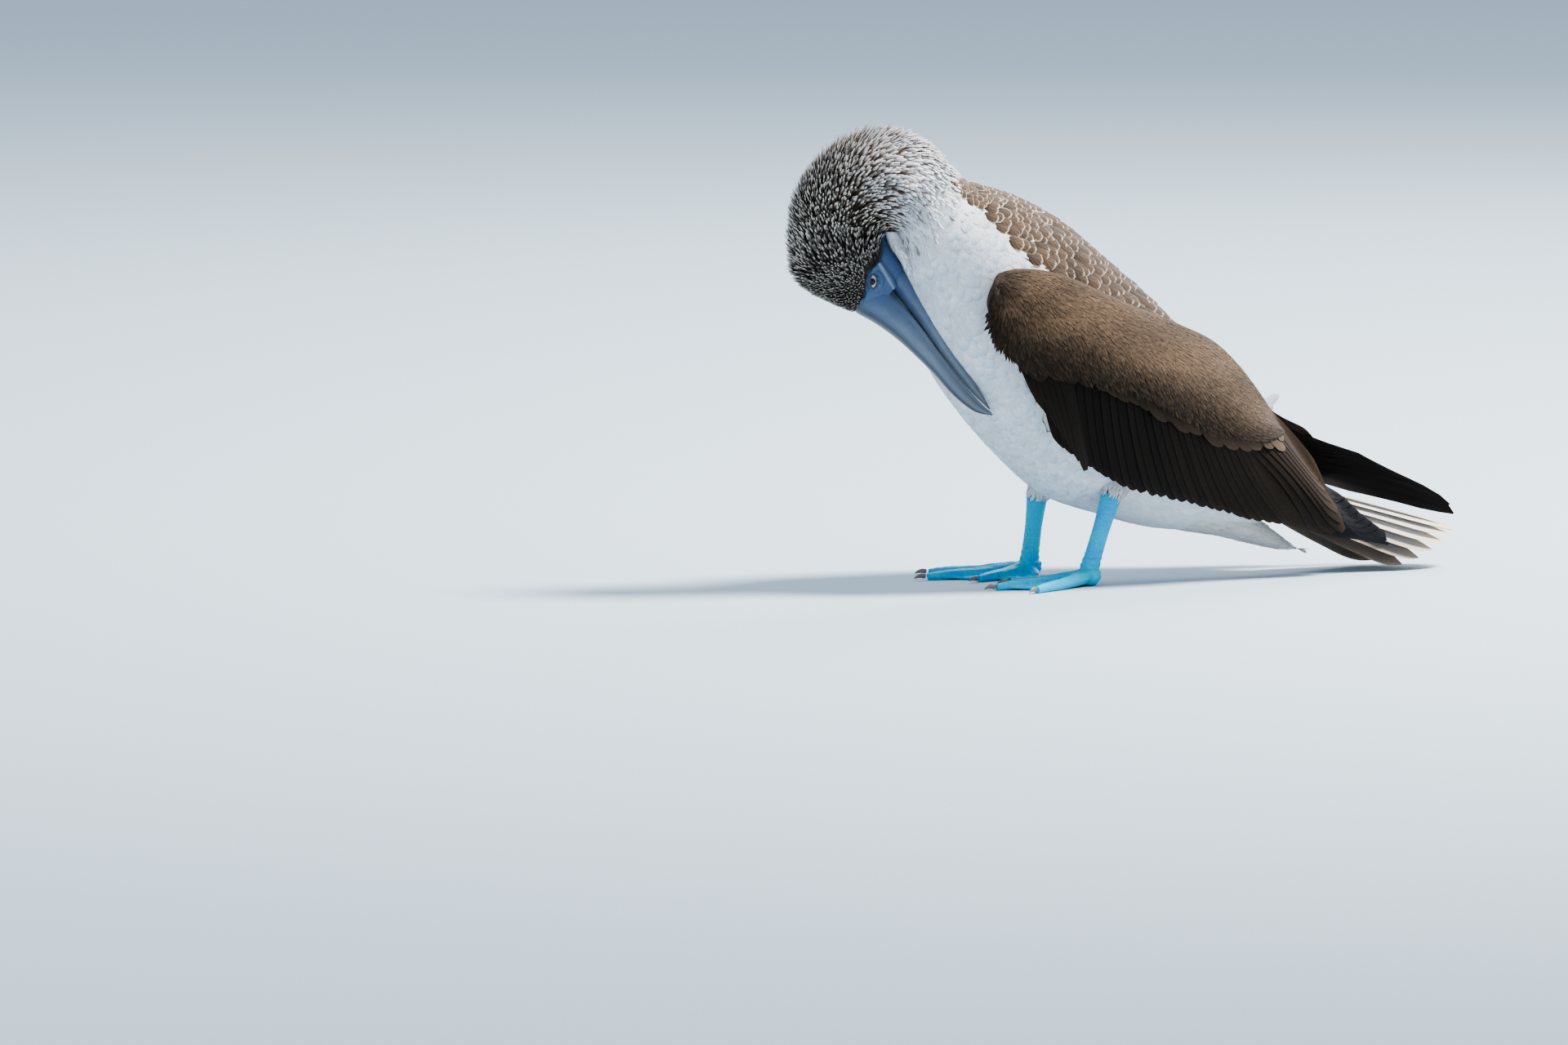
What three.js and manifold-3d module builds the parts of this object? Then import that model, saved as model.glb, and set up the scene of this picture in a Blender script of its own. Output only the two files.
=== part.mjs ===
// Blue-footed booby, a life-size still model: the bird stands with its neck arched over and its bill
// tucked back and down along the left side of its breast, wings folded, tail spread behind.
//
// Millimetres, +Z up. The bird faces -X and its left side is at -Y. Shapes are worked out in the bird's
// own frame, whose origin lies on the floor between the feet, and the last lines move the whole bird so
// that the origin is the middle of its bounding box, at floor level.

import * as THREE from "three";
import { mergeVertices } from "three/addons/utils/BufferGeometryUtils.js";
import Module from "manifold-3d";

const wasm = await Module();
wasm.setup();

// Driving dimensions

const GAP = 0.3; // clearance kept between neighbouring nodes
const HEAD_TURN = 25; // degrees that the neck's arch and the head turn to the left
const BILL_PITCH = 49.4; // degrees that the bill points below the horizontal, back towards the breast
const HEAD_ROLL = 16; // degrees that the crown rolls towards the left
const NECK_PIVOT = [-126.5, -3, 236.8]; // the crease under the chin, round which the neck arches
const HEAD_CENTRE = [-143, -2, 205]; // midway between the eyes
const CREASE_RADIUS = 1.6; // how tightly the throat folds at the crease

const EYE_RADIUS = 8.5;
const EYE_SET = 12.5; // from the middle of the head out to the eyeball's centre
const LID_RADIUS = 7.4;
const LID_THICK = 1.5;

const PRIMARY_THICK = 0.65;
const VANE_THICK = 1.1; // flight and tail feathers
const COVERT_THICK = 1.3;
const SMOOTHING = 0.14; // faces that stand out less than this are merged

const WING_WRIST = [-90, 195]; // x, z of the folded wrist, on the left
const WING_SLOPE = 31; // degrees that the folded left wing slopes down towards the tail
const WING_LENGTH = 326; // wrist to the tips of the tertials
const PRIMARY_REACH = 366; // wrist to the tip of the left wing's longest primary
const RIGHT_WRIST = [-80, 209]; // the right wing is carried a little higher and straighter
const RIGHT_SLOPE = 26.6;
const RIGHT_PRIMARY_REACH = 412;

const TAIL_FAN = [96, 0, 79]; // where the tail feathers' shafts would meet
const TAIL_SLOPE = 15.5;
const TAIL_CENTRAL = 204; // from the fan's centre to the tips of the central pair
const TAIL_OUTER = 158;

const TOE_TIP_RADIUS = 2.6;
const WEB_THICK = 1.6;
const KNUCKLE_RADIUS = 8.4;
const LEFT_FOOT = [2, -38]; // x, y of the joint where the toes meet
const RIGHT_FOOT = [-6, 38];
const FOOT_JOINT_Z = 10.5;

// Materials

const feather = (color, roughness = 0.85) => new THREE.MeshStandardMaterial({ color, roughness });
const MATERIALS = {
  head: feather(0x4a3b32),
  neck: feather(0xb9ada2),
  torso: feather(0xe4e4e6),
  wing: feather(0x4b3a2d),
  tail: feather(0xa79a92),
  bill: new THREE.MeshStandardMaterial({ color: 0x5d6f86, roughness: 0.45 }),
  eye: new THREE.MeshStandardMaterial({ color: 0xd8d0a0, roughness: 0.1 }),
  foot: new THREE.MeshStandardMaterial({ color: 0x27b4dd, roughness: 0.55 }),
  claw: new THREE.MeshStandardMaterial({ color: 0x6f6a66, roughness: 0.5 }),
};

// Vectors and profiles

const vec = (x, y, z) => new THREE.Vector3(x, y, z);
const radians = THREE.MathUtils.degToRad;
const lerp = THREE.MathUtils.lerp;
const clamp01 = (t) => THREE.MathUtils.clamp(t, 0, 1);

// origin + a1 * v1 + a2 * v2 + ...
function along(origin, ...terms) {
  const p = origin.clone();
  for (const [amount, direction] of terms) p.addScaledVector(direction, amount);
  return p;
}

// A smooth function through [x, value] pairs, level beyond its ends.
function profile(pairs) {
  return (x) => {
    const last = pairs.length - 1;
    if (x <= pairs[0][0]) return pairs[0][1];
    if (x >= pairs[last][0]) return pairs[last][1];
    const i = pairs.findIndex(([at]) => at > x) - 1;
    const [p, q] = [pairs[i], pairs[i + 1]];
    const slope = (m, n) => (n[1] - m[1]) / (n[0] - m[0]);
    const here = slope(p, q);
    const before = i > 0 ? (slope(pairs[i - 1], p) + here) / 2 : here;
    const after = i + 2 <= last ? (here + slope(q, pairs[i + 2])) / 2 : here;
    const [span, t] = [q[0] - p[0], (x - p[0]) / (q[0] - p[0])];
    const [t2, t3] = [t * t, t * t * t];
    return (
      p[1] * (2 * t3 - 3 * t2 + 1) +
      before * span * (t3 - 2 * t2 + t) +
      q[1] * (3 * t2 - 2 * t3) +
      after * span * (t3 - t2)
    );
  };
}

// Solids

// The closed solid of a geometry, with its faces turned outwards.
function solid(geometry) {
  geometry.deleteAttribute("normal");
  geometry.deleteAttribute("uv");
  const merged = mergeVertices(geometry, 1e-4);
  const points = merged.attributes.position;
  const triVerts = new Uint32Array(merged.index.array);
  const [a, b, c] = [vec(), vec(), vec()];
  let volume = 0;
  for (let i = 0; i < triVerts.length; i += 3) {
    a.fromBufferAttribute(points, triVerts[i]);
    b.fromBufferAttribute(points, triVerts[i + 1]);
    c.fromBufferAttribute(points, triVerts[i + 2]);
    volume += a.dot(b.cross(c));
  }
  if (volume < 0)
    for (let i = 0; i < triVerts.length; i += 3)
      [triVerts[i + 1], triVerts[i + 2]] = [triVerts[i + 2], triVerts[i + 1]];
  return new wasm.Manifold(new wasm.Mesh({ numProp: 3, vertProperties: points.array, triVerts }));
}

const join = (...solids) => wasm.Manifold.union(solids.flat());

// The largest closed surface of a solid: loose scraps go, and a sealed hollow is filled.
function largest(made) {
  return made.decompose().reduce((best, next) => (next.volume() > best.volume() ? next : best));
}

// A solid as a three.js geometry with its corners merged as they will be handed on.
function geometryOf(made) {
  const { numProp, vertProperties, triVerts } = made.getMesh();
  const position = new Float32Array((vertProperties.length / numProp) * 3);
  for (let i = 0; i < position.length / 3; i++)
    position.set(vertProperties.subarray(i * numProp, i * numProp + 3), i * 3);
  const geometry = new THREE.BufferGeometry();
  geometry.setAttribute("position", new THREE.BufferAttribute(position, 3));
  geometry.setIndex(new THREE.BufferAttribute(new Uint32Array(triVerts), 1));
  return mergeVertices(geometry, 1e-3);
}

function meshOf(name, made, material) {
  const ROUNDS = 3; // merging corners can part a sliver from its body, so the largest is kept again
  let body = largest(made).simplify(SMOOTHING);
  for (let i = 0; i < ROUNDS; i++) body = largest(solid(geometryOf(body)));
  const geometry = geometryOf(body);
  geometry.computeVertexNormals();
  const mesh = new THREE.Mesh(geometry, material);
  mesh.name = name;
  return mesh;
}

// A tube with closed ends through stations {d, v, side, w}: d and v are the section's upper and lower
// points, side its sideways direction and w its half width.
function loft(stations, { sides = 16, steps = 24, grow = 0, from = 0, to = 1 } = {}) {
  const curve = (pick) => new THREE.CatmullRomCurve3(stations.map(pick), false, "centripetal");
  const upper = curve((s) => s.d);
  const lower = curve((s) => s.v);
  const width = curve((s) => s.side.clone().multiplyScalar(s.w));
  const geometry = new THREE.CylinderGeometry(1, 1, 1, sides, steps);
  const points = geometry.attributes.position;
  for (let i = 0; i < points.count; i++) {
    const t = lerp(from, to, 0.5 - points.getY(i));
    const [d, v, w] = [upper.getPoint(t), lower.getPoint(t), width.getPoint(t)];
    const half = d.clone().sub(v).multiplyScalar(0.5);
    const centre = d.clone().add(v).multiplyScalar(0.5);
    half.setLength(half.length() + grow);
    w.setLength(w.length() + grow);
    const p = along(centre, [points.getZ(i), half], [points.getX(i), w]);
    points.setXYZ(i, p.x, p.y, p.z);
  }
  return solid(geometry);
}

// A thin closed plate: at(u, v, face) gives its surface for u and v from 0 to 1, with face 1 or -1.
// Both faces are split into the same triangles.
function plate(at, across, lengthwise) {
  const flat = new THREE.PlaneGeometry(1, 1, across, lengthwise);
  const grid = flat.attributes.position;
  const count = grid.count;
  const position = new Float32Array(count * 6);
  for (const [face, start] of [[1, 0], [-1, count]])
    for (let i = 0; i < count; i++) {
      const p = at(0.5 - grid.getY(i), grid.getX(i) + 0.5, face);
      position.set([p.x, p.y, p.z], (start + i) * 3);
    }
  const top = Array.from(flat.index.array);
  const index = [...top];
  for (let i = 0; i < top.length; i += 3)
    index.push(top[i] + count, top[i + 2] + count, top[i + 1] + count);
  const columns = across + 1;
  const rim = [];
  for (let i = 0; i < lengthwise; i++) rim.push(i * columns);
  for (let i = 0; i < across; i++) rim.push(lengthwise * columns + i);
  for (let i = lengthwise; i > 0; i--) rim.push(i * columns + across);
  for (let i = across; i > 0; i--) rim.push(i);
  rim.forEach((p, i) => {
    const q = rim[(i + 1) % rim.length];
    index.push(p + count, q + count, q, p + count, q, p);
  });
  const geometry = new THREE.BufferGeometry();
  geometry.setAttribute("position", new THREE.BufferAttribute(position, 3));
  geometry.setIndex(index);
  return solid(geometry);
}

// How wide a feather is along its length, from 0 at the quill to 1 at the tip, as a share of its widest.
const bluntShape = profile([[0, 0.45], [0.3, 0.9], [0.6, 1], [0.85, 0.94], [0.94, 0.74], [1, 0.36]]);
const pointedShape = profile([[0, 0.4], [0.3, 0.95], [0.6, 1], [0.8, 0.8], [0.93, 0.45], [1, 0.08]]);
// Rows across a feather lie closer together towards its tip, where its outline turns.
const towardsTip = (u) => 1 - (1 - u) ** 1.5;

// The head's frame: forward along the bill, up towards the crown, left out of the left eye

const headFrame = (() => {
  const turn = radians(HEAD_TURN);
  const back = vec(Math.cos(turn), -Math.sin(turn), 0);
  const pitch = radians(BILL_PITCH);
  const up = vec(0, 0, 1);
  const forward = along(vec(0, 0, 0), [Math.cos(pitch), back], [-Math.sin(pitch), up]);
  const crown = along(vec(0, 0, 0), [-Math.sin(pitch), back], [-Math.cos(pitch), up]);
  const left = crown.clone().cross(forward);
  const roll = radians(HEAD_ROLL);
  return {
    back,
    outward: left,
    forward,
    up: along(vec(0, 0, 0), [Math.cos(roll), crown], [Math.sin(roll), left]),
    left: along(vec(0, 0, 0), [Math.cos(roll), left], [-Math.sin(roll), crown]),
    centre: vec(...HEAD_CENTRE),
  };
})();

const inHead = (forward, up, left = 0) =>
  along(headFrame.centre, [forward, headFrame.forward], [up, headFrame.up], [left, headFrame.left]);

// Flesh: trunk, neck and head are one form, parted at two planes

// Trunk stations from the tail root to the neck: dorsal x, z, ventral x, z and half width.
const TRUNK = [
  [174, 63, 167, 45, 15],
  [156, 84, 141, 34, 29],
  [129, 118, 108, 31, 42],
  [97, 153, 65, 34, 51],
  [60, 190, 24, 45, 57],
  [27, 217, -12, 58, 58],
  [-4, 242, -47, 87, 57],
  [-34, 258, -81, 126, 57],
  [-57, 266, -104, 163, 52],
  [-74, 271, -122, 203, 42],
];
// The neck's arch round the crease: degrees round from straight back, outer radius and half width.
const ARCH = [
  [49, 59, 34],
  [70, 63.5, 33],
  [91, 67.5, 33],
  [112, 69, 32.5],
  [135, 68.5, 31],
  [158, 67.5, 29],
  [180, 66.5, 27],
];
// The head: how far forward and up its crown and chin lie, and its half width.
const SKULL = [
  [-37, 32.5, -13, -27, 25],
  [-21, 32.5, -6, -25.4, 23],
  [-5, 27.5, 3, -23.4, 20],
  [9.5, 20.2, 10, -21.6, 15],
];

function fleshStations() {
  const trunk = TRUNK.map(([dx, dz, vx, vz, w]) => ({
    d: vec(dx, 0, dz),
    v: vec(vx, 0, vz),
    side: vec(0, -1, 0),
    w,
  }));
  const pivot = vec(...NECK_PIVOT);
  const arch = ARCH.map(([angle, radius, w]) => {
    const a = radians(angle);
    const spoke = along(vec(0, 0, 0), [Math.cos(a), headFrame.back], [Math.sin(a), vec(0, 0, 1)]);
    return {
      d: along(pivot, [radius, spoke]),
      v: along(pivot, [CREASE_RADIUS, spoke]),
      side: headFrame.outward.clone(),
      w,
    };
  });
  const skull = SKULL.map(([df, du, vf, vu, w]) => ({
    d: inHead(df, du),
    v: inHead(vf, vu),
    side: headFrame.left.clone(),
    w,
  }));
  return [...trunk, ...arch, ...skull];
}

const FLESH = fleshStations();
const LAST = FLESH.length - 1;
const NECK_STARTS = (TRUNK.length - 0.5) / LAST;
const HEAD_STARTS = (TRUNK.length + ARCH.length - 1) / LAST;
const NECK_GAP = 0.016 / LAST; // leaves about 0.3 mm between the trunk's end and the neck's

// The normal of the flesh's section at t.
function sectionNormal(t) {
  const at = (pick) => new THREE.CatmullRomCurve3(FLESH.map(pick), false, "centripetal").getPoint(t);
  const [d, v, side] = [at((s) => s.d), at((s) => s.v), at((s) => s.side)];
  return d.sub(v).cross(side).normalize();
}

const trunk = () => loft(FLESH, { sides: 18, steps: 16, to: NECK_STARTS - NECK_GAP });

// The neck and the head, parted by a thin slot from the crease out through the nape.
function neckAndHead() {
  const normal = sectionNormal(HEAD_STARTS);
  const nape = headFrame.back.clone().negate();
  const SLOT_REACH = 90;
  const slot = new THREE.BoxGeometry(SLOT_REACH, SLOT_REACH, GAP);
  slot.applyMatrix4(new THREE.Matrix4().makeBasis(nape, normal.clone().cross(nape), normal));
  slot.translate(...along(vec(...NECK_PIVOT), [SLOT_REACH / 2, nape]).toArray());
  const [neck, head] = loft(FLESH, { sides: 18, steps: 26, from: NECK_STARTS })
    .subtract(solid(slot))
    .decompose()
    .sort((a, b) => b.volume() - a.volume());
  return { neck, head };
}

// White coverts under the tail, ending in a soft point: dorsal x, z, ventral x, z and half width.
const UNDERTAIL = [
  [60, 70, 58, 38, 26],
  [92, 58, 88, 31, 25],
  [118, 50, 114, 26.5, 21],
  [146, 36, 142, 19.5, 12],
  [164, 23, 162, 15.5, 5],
  [173, 16.6, 173, 15.4, 1],
];

function undertail() {
  const stations = UNDERTAIL.map(([dx, dz, vx, vz, w]) => ({
    d: vec(dx, 0, dz),
    v: vec(vx, 0, vz),
    side: vec(0, -1, 0),
    w,
  }));
  return loft(stations, { sides: 12, steps: 8 });
}

// Bill

// Upper half: forward, top, bottom, half width. The tip droops a little over the lower half.
const UPPER_BILL = [
  [10.4, 19.4, -7.6, 14],
  [24, 14.4, -7.5, 12.6],
  [40, 10.5, -7.3, 10.6],
  [57, 8.3, -5.9, 8.6],
  [75, 6.9, -4.3, 7],
  [88, 6.8, -3.8, 6],
  [101, 5.4, -3.7, 4.9],
  [112.5, 2, -4.4, 3.4],
  [118.5, -2.6, -5.6, 1.5],
  [120.5, -4.4, -5.4, 0.4],
];
const LOWER_BILL = [
  [10.4, -8, -21.5, 12.4],
  [28, -8, -19.7, 10.4],
  [50, -6.9, -16.4, 8.2],
  [66, -5.4, -13.7, 6.8],
  [81, -4.7, -11.9, 5.4],
  [95, -4.3, -10.6, 4.2],
  [107, -4.9, -8.7, 2.6],
  [114, -5.6, -7.1, 1.1],
  [116.5, -6, -6.7, 0.4],
];

function billHalf(profileRows, grow = 0) {
  const stations = profileRows.map(([f, top, bottom, w]) => ({
    d: inHead(f, top),
    v: inHead(f, bottom),
    side: headFrame.left.clone(),
    w,
  }));
  return loft(stations, { sides: 12, steps: 13, grow });
}

// Eyes and lids

const eyeCentre = (side) => inHead(0, 0, side * EYE_SET);
const gaze = (side) =>
  along(vec(0, 0, 0), [0.8 * side, headFrame.left], [0.5, headFrame.forward], [-0.2, headFrame.up])
    .normalize();

function eyeball(side, grow = 0) {
  const geometry = new THREE.SphereGeometry(EYE_RADIUS + grow, 12, 8);
  geometry.translate(...eyeCentre(side).toArray());
  return solid(geometry);
}

// A ring of lid round the eye, a little longer than it is wide.
function lids(side) {
  const geometry = new THREE.TorusGeometry(LID_RADIUS, LID_THICK, 5, 13);
  const turn = new THREE.Quaternion().setFromUnitVectors(vec(0, 0, 1), gaze(side));
  geometry.applyQuaternion(turn);
  geometry.translate(...along(eyeCentre(side), [EYE_RADIUS * 0.52, gaze(side)]).toArray());
  return solid(geometry);
}

// Wings. A folded wing is a curved sheet beside the trunk, and every feather follows that sheet. Its
// coordinates: a runs from the wrist towards the tail, c down across the wing, h out from the sheet.

// How far the sheet stands from the middle of the body: along its middle, its top and its lower edge.
const bulgeMiddle = profile([
  [-10, 58], [30, 68], [90, 73], [150, 72], [200, 66], [240, 56], [290, 46], [326, 38], [370, 31], [420, 15],
]);
const bulgeTop = profile([
  [-10, 48], [30, 57], [60, 54], [100, 47], [140, 34], [180, 20], [215, 14], [254, 14], [290, 22],
  [326, 33.5], [370, 31], [420, 15],
]);
const bulgeBottom = profile([
  [-10, 56], [30, 65], [65, 66], [105, 62], [150, 58], [200, 52], [240, 45], [290, 37], [326, 31],
  [370, 26], [420, 14],
]);
const wingTop = profile([
  [4, -20], [9, -28], [20, -36], [51, -47], [99, -54], [125, -59], [151, -64], [174, -68.5], [194, -68],
  [213, -64], [230, -58], [246, -51], [263, -42], [278, -34], [296, -25], [310, -18], [326, -4],
]);
const wingBottom = profile([
  [4, -8], [13, 6], [23, 15], [39, 25], [57, 33], [75, 42], [88, 50], [105, 54], [122, 54.5], [154, 54],
  [173, 51], [194, 44], [216, 37], [247, 28], [265, 23], [284, 15], [303, 9], [326, 1],
]);
const covertLine = profile([[30, 24], [51, 23], [88, 9], [134, -2], [177, -5], [218, -13], [250, -31]]);
// The fleshy front of the wing, under its small coverts: its upper and lower edges as [a, c].
const CORE_TOP = [
  [4, -17], [7, -26], [14, -32], [30, -40.5], [51, -47], [99, -54], [151, -64], [190, -68.5], [226, -60],
  [254, -47],
];
const CORE_BOTTOM = [
  [4, -12], [8, -1], [18, 10], [34, 17], [52, 16], [88, 3], [134, -8], [178, -11], [218, -20], [248, -37],
];

const WING_SIDES = {
  left: { side: 1, wrist: WING_WRIST, slope: WING_SLOPE, reach: PRIMARY_REACH, bow: 38, rise: () => 1 },
  right: {
    side: -1,
    wrist: RIGHT_WRIST,
    slope: RIGHT_SLOPE,
    reach: RIGHT_PRIMARY_REACH,
    bow: 34,
    // the right wing's upper edge is tucked lower against the back, towards the tail above all
    rise: profile([[0, 0.78], [200, 0.5], [265, 0.34], [300, 0.55], [340, 0.95]]),
  },
};

// The place on a wing's sheet at a along it, c down across it and h out from it.
function onSheet({ side, wrist, slope, rise }, a, c, h) {
  const s = radians(slope);
  const raised = c < 0 ? c * rise(a) : c;
  const middle = (wingTop(a) + wingBottom(a)) / 2;
  const halfDepth = Math.max(12, (wingBottom(a) - wingTop(a)) / 2);
  const v = THREE.MathUtils.clamp((c - middle) / halfDepth, -1.1, 1.1);
  const edge = v < 0 ? bulgeTop(a) : bulgeBottom(a);
  const out = lerp(bulgeMiddle(a), edge, v * v) + h;
  return vec(
    wrist[0] + a * Math.cos(s) - raised * Math.sin(s),
    -side * out,
    wrist[1] - a * Math.sin(s) - raised * Math.cos(s),
  );
}

const WING_UNDERSIDE = 8.6; // depth of a wing's inner face below its sheet
const POCKET_REACH = 30; // how far out of the body the pocket's cutter stands

// The place beside the trunk that a folded wing fills.
function wingPocket(name) {
  const wingSide = WING_SIDES[name];
  return plate((u, v, face) => {
    const a = lerp(1, 340, u ** 1.5);
    const c = lerp(wingTop(a) - 4, wingBottom(a) + 6, v);
    return onSheet(wingSide, a, c, face > 0 ? POCKET_REACH : -WING_UNDERSIDE - 3.5 * GAP);
  }, 6, 22);
}

function wing(name) {
  const wingSide = WING_SIDES[name];
  const place = (a, c, h) => onSheet(wingSide, a, c, h);
  const edgeCurve = (points) =>
    new THREE.CatmullRomCurve3(points.map(([a, c]) => vec(a, c, 0)), false, "centripetal");
  const [upper, lower] = [edgeCurve(CORE_TOP), edgeCurve(CORE_BOTTOM)];
  const core = plate((u, v, face) => {
    const { x: a, y: c } = upper.getPoint(u).lerp(lower.getPoint(u), v);
    const edge = Math.sqrt(Math.max(0, 1 - (2 * v - 1) ** 4));
    const end = Math.sqrt(Math.max(0.03, 1 - (2 * u - 1) ** 8));
    return place(a, c, face > 0 ? 3.4 * edge * end : -2 - (WING_UNDERSIDE - 2) * edge * end);
  }, 6, 12);

  // One feather from root to tip, both [a, c], bowed by bow towards the wing's lower edge. Its lower
  // edge stands out by tilt, over the feather below it, and its upper edge is tucked in.
  const vane = (
    { root, tip, bow = 0, early = 1, half, h, tilt = 2.6, shape = bluntShape, thick = VANE_THICK },
    rows,
    spacing = towardsTip,
  ) => {
    const run = new THREE.Vector2(tip[0] - root[0], tip[1] - root[1]).normalize();
    return plate((share, v, face) => {
      const u = spacing(share);
      const w = (2 * v - 1) * half * shape(u);
      const sag = bow * Math.sin(Math.PI * u ** early);
      const a = lerp(root[0], tip[0], u) - run.y * (w + sag);
      const c = lerp(root[1], tip[1], u) + run.x * (w + sag);
      return place(a, c, h + (tilt * w) / half + (face * thick * (1 - 0.45 * u)) / 2);
    }, 2, rows);
  };

  const PRIMARIES = 5;
  const PRIMARY_COVERTS = 3;
  const SECONDARIES = 11;
  const TERTIALS = 3;
  const GREATER_COVERTS = 8;
  const vanes = [];
  for (let i = 0; i < PRIMARIES; i++) {
    const t = i / (PRIMARIES - 1);
    vanes.push(vane({
      root: [lerp(38, 92, t), lerp(2, -18, t)],
      tip: [wingSide.reach - 13 * i, lerp(-18, -24, t)],
      bow: lerp(wingSide.bow, 16, t),
      early: 0.65,
      half: 9,
      h: lerp(-8.1, -4.7, t),
      tilt: 0,
      shape: pointedShape,
      thick: PRIMARY_THICK,
    }, 8, (share) => share));
  }
  for (let i = 0; i < PRIMARY_COVERTS; i++)
    vanes.push(vane({
      root: [16 + 8 * i, -6 - 2 * i],
      tip: [88 + 13 * i, 43 + 4 * i],
      bow: 2 - i,
      half: 7.5,
      h: -1.4,
      tilt: 1.2,
    }, 4));
  for (let i = 0; i < SECONDARIES; i++) {
    const t = i / (SECONDARIES - 1);
    const [rootA, tipA] = [lerp(60, 200, t), lerp(110, 306, t)];
    vanes.push(vane({
      root: [rootA, covertLine(rootA) - lerp(16, 22, t)],
      tip: [tipA, wingBottom(tipA) - 0.5],
      bow: lerp(2, 5, t),
      half: 12,
      h: -0.8,
    }, 4));
  }
  for (let i = 0; i < TERTIALS; i++)
    vanes.push(vane({
      root: [196 - 4 * i, -31 - 9 * i],
      tip: [WING_LENGTH - 9 * i, -3 - 9 * i],
      bow: -7,
      half: 11,
      h: -0.6,
    }, 5));
  for (let i = 0; i < GREATER_COVERTS; i++) {
    const t = i / (GREATER_COVERTS - 1);
    const tipA = lerp(66, 252, t);
    vanes.push(vane({
      root: [tipA - 44, covertLine(tipA) - lerp(24, 14, t)],
      tip: [tipA, covertLine(tipA) + 4],
      half: 13,
      h: 3.6,
      tilt: 1.8,
      thick: COVERT_THICK,
    }, 2));
  }
  return join(core, vanes);
}

// Tail: pointed feathers fanned from one centre, the central pair on top and longest, the outer ones
// lower and shorter.

function tail(grow = 0) {
  const fan = vec(...TAIL_FAN);
  const slopeAxes = (degrees) => {
    const slope = radians(degrees);
    return [vec(Math.cos(slope), 0, -Math.sin(slope)), vec(Math.sin(slope), 0, Math.cos(slope))];
  };
  const pieces = [];
  const PAIRS = 6;
  const START = 62; // the feathers start this far from the fan's centre, in the tail root
  for (const side of [1, -1])
    for (let i = 0; i < PAIRS; i++) {
      const t = i / (PAIRS - 1);
      const [axis, normal] = slopeAxes(TAIL_SLOPE + 1.2 * t);
      const spread = radians(lerp(1.4, 13.5, t));
      const droop = radians(lerp(8, 46, t));
      const length = lerp(TAIL_CENTRAL, TAIL_OUTER, t ** 1.2);
      const out = vec(0, -side * Math.cos(droop), -Math.sin(droop));
      const run = along(vec(0, 0, 0), [Math.cos(spread), axis], [Math.sin(spread), out]);
      const cross = along(vec(0, 0, 0), [-Math.sin(spread), axis], [Math.cos(spread), out]);
      const lift = run.clone().cross(cross).multiplyScalar(side).normalize();
      if (lift.dot(normal) < 0) lift.negate();
      // each feather's outer edge slips under its outer neighbour's inner edge
      pieces.push(plate((share, v, face) => {
        const u = towardsTip(share);
        const reach = lerp(START, length, u);
        const w = (2 * v - 1) * (8.5 + grow) * pointedShape(clamp01(0.15 + 0.85 * u));
        const level = -1.2 * i - (side < 0 ? 0.6 : 0) - 0.1 * w;
        const skin = face * (VANE_THICK / 2 + grow) * (1 - 0.4 * u);
        return along(fan, [reach, run], [w, cross], [level + skin, lift]);
      }, 2, 6));
    }
  const [axis, normal] = slopeAxes(TAIL_SLOPE);
  const ring = (reach, above, below, w) => ({
    d: along(fan, [reach, axis], [above, normal]),
    v: along(fan, [reach, axis], [-below, normal]),
    side: vec(0, -1, 0),
    w,
  });
  const rings = [ring(54, 5, 17, 16), ring(74, 3, 19, 17), ring(92, 1.5, 14, 12)];
  return join(pieces, loft(rings, { sides: 12, steps: 4, grow }));
}

// Legs and feet

function tube(path, radii, { sides = 12, steps = 8, grow = 0, across = vec(0, -1, 0) } = {}) {
  const stations = path.map((p, i) => {
    const [before, after] = [path[Math.max(0, i - 1)], path[Math.min(path.length - 1, i + 1)]];
    const run = after.clone().sub(before).normalize();
    const side = across.clone().addScaledVector(run, -across.dot(run)).normalize();
    const normal = run.clone().cross(side);
    const [deep, wide] = radii[i];
    return { d: along(p, [deep, normal]), v: along(p, [-deep, normal]), side, w: wide };
  });
  return loft(stations, { sides, steps, grow });
}

const ANKLES = { left: vec(19.5, -36, 60), right: vec(-1, 36, 55) };
const HIPS = { left: vec(42, -24, 92), right: vec(14, 24, 88) };
const FOOT_JOINTS = { left: vec(...LEFT_FOOT, FOOT_JOINT_Z), right: vec(...RIGHT_FOOT, FOOT_JOINT_Z) };

// The feathered lower thigh, which narrows to the bare ankle.
function thigh(name, grow = 0) {
  const [hip, ankle] = [HIPS[name], ANKLES[name]];
  const knee = hip.clone().lerp(ankle, 0.55);
  return tube([hip, knee, along(ankle, [3, hip.clone().sub(ankle).normalize()])],
    [[23, 17], [17, 13.5], [8.5, 8]], { grow, steps: 6 });
}

// The bare shank, slim in the middle and thicker at both joints.
function shank(name, grow = 0) {
  const [ankle, joint] = [ANKLES[name], FOOT_JOINTS[name]];
  const at = (t) => ankle.clone().lerp(joint, t);
  return tube([at(0), at(0.12), at(0.45), at(0.8), at(0.97)],
    [[7.4, 6.4], [7, 6], [6, 5], [6.2, 5.2], [6.8, 6.2]], { steps: 8, grow });
}

// Toes of the left foot: heading in degrees out to the left of straight ahead, and length without claw.
const TOES = [
  { name: "outer", heading: 34, length: 68 },
  { name: "middle", heading: 6, length: 72 },
  { name: "inner", heading: -24, length: 52 },
  { name: "hind", heading: -78, length: 24 },
];

function toePath(name, toe) {
  const side = name === "left" ? 1 : -1;
  const heading = radians(toe.heading);
  const run = vec(-Math.cos(heading), -side * Math.sin(heading), 0);
  const joint = vec(FOOT_JOINTS[name].x, FOOT_JOINTS[name].y, 0);
  const at = (share, height) => along(joint, [toe.length * share, run]).setZ(height);
  return { run, at };
}

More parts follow.
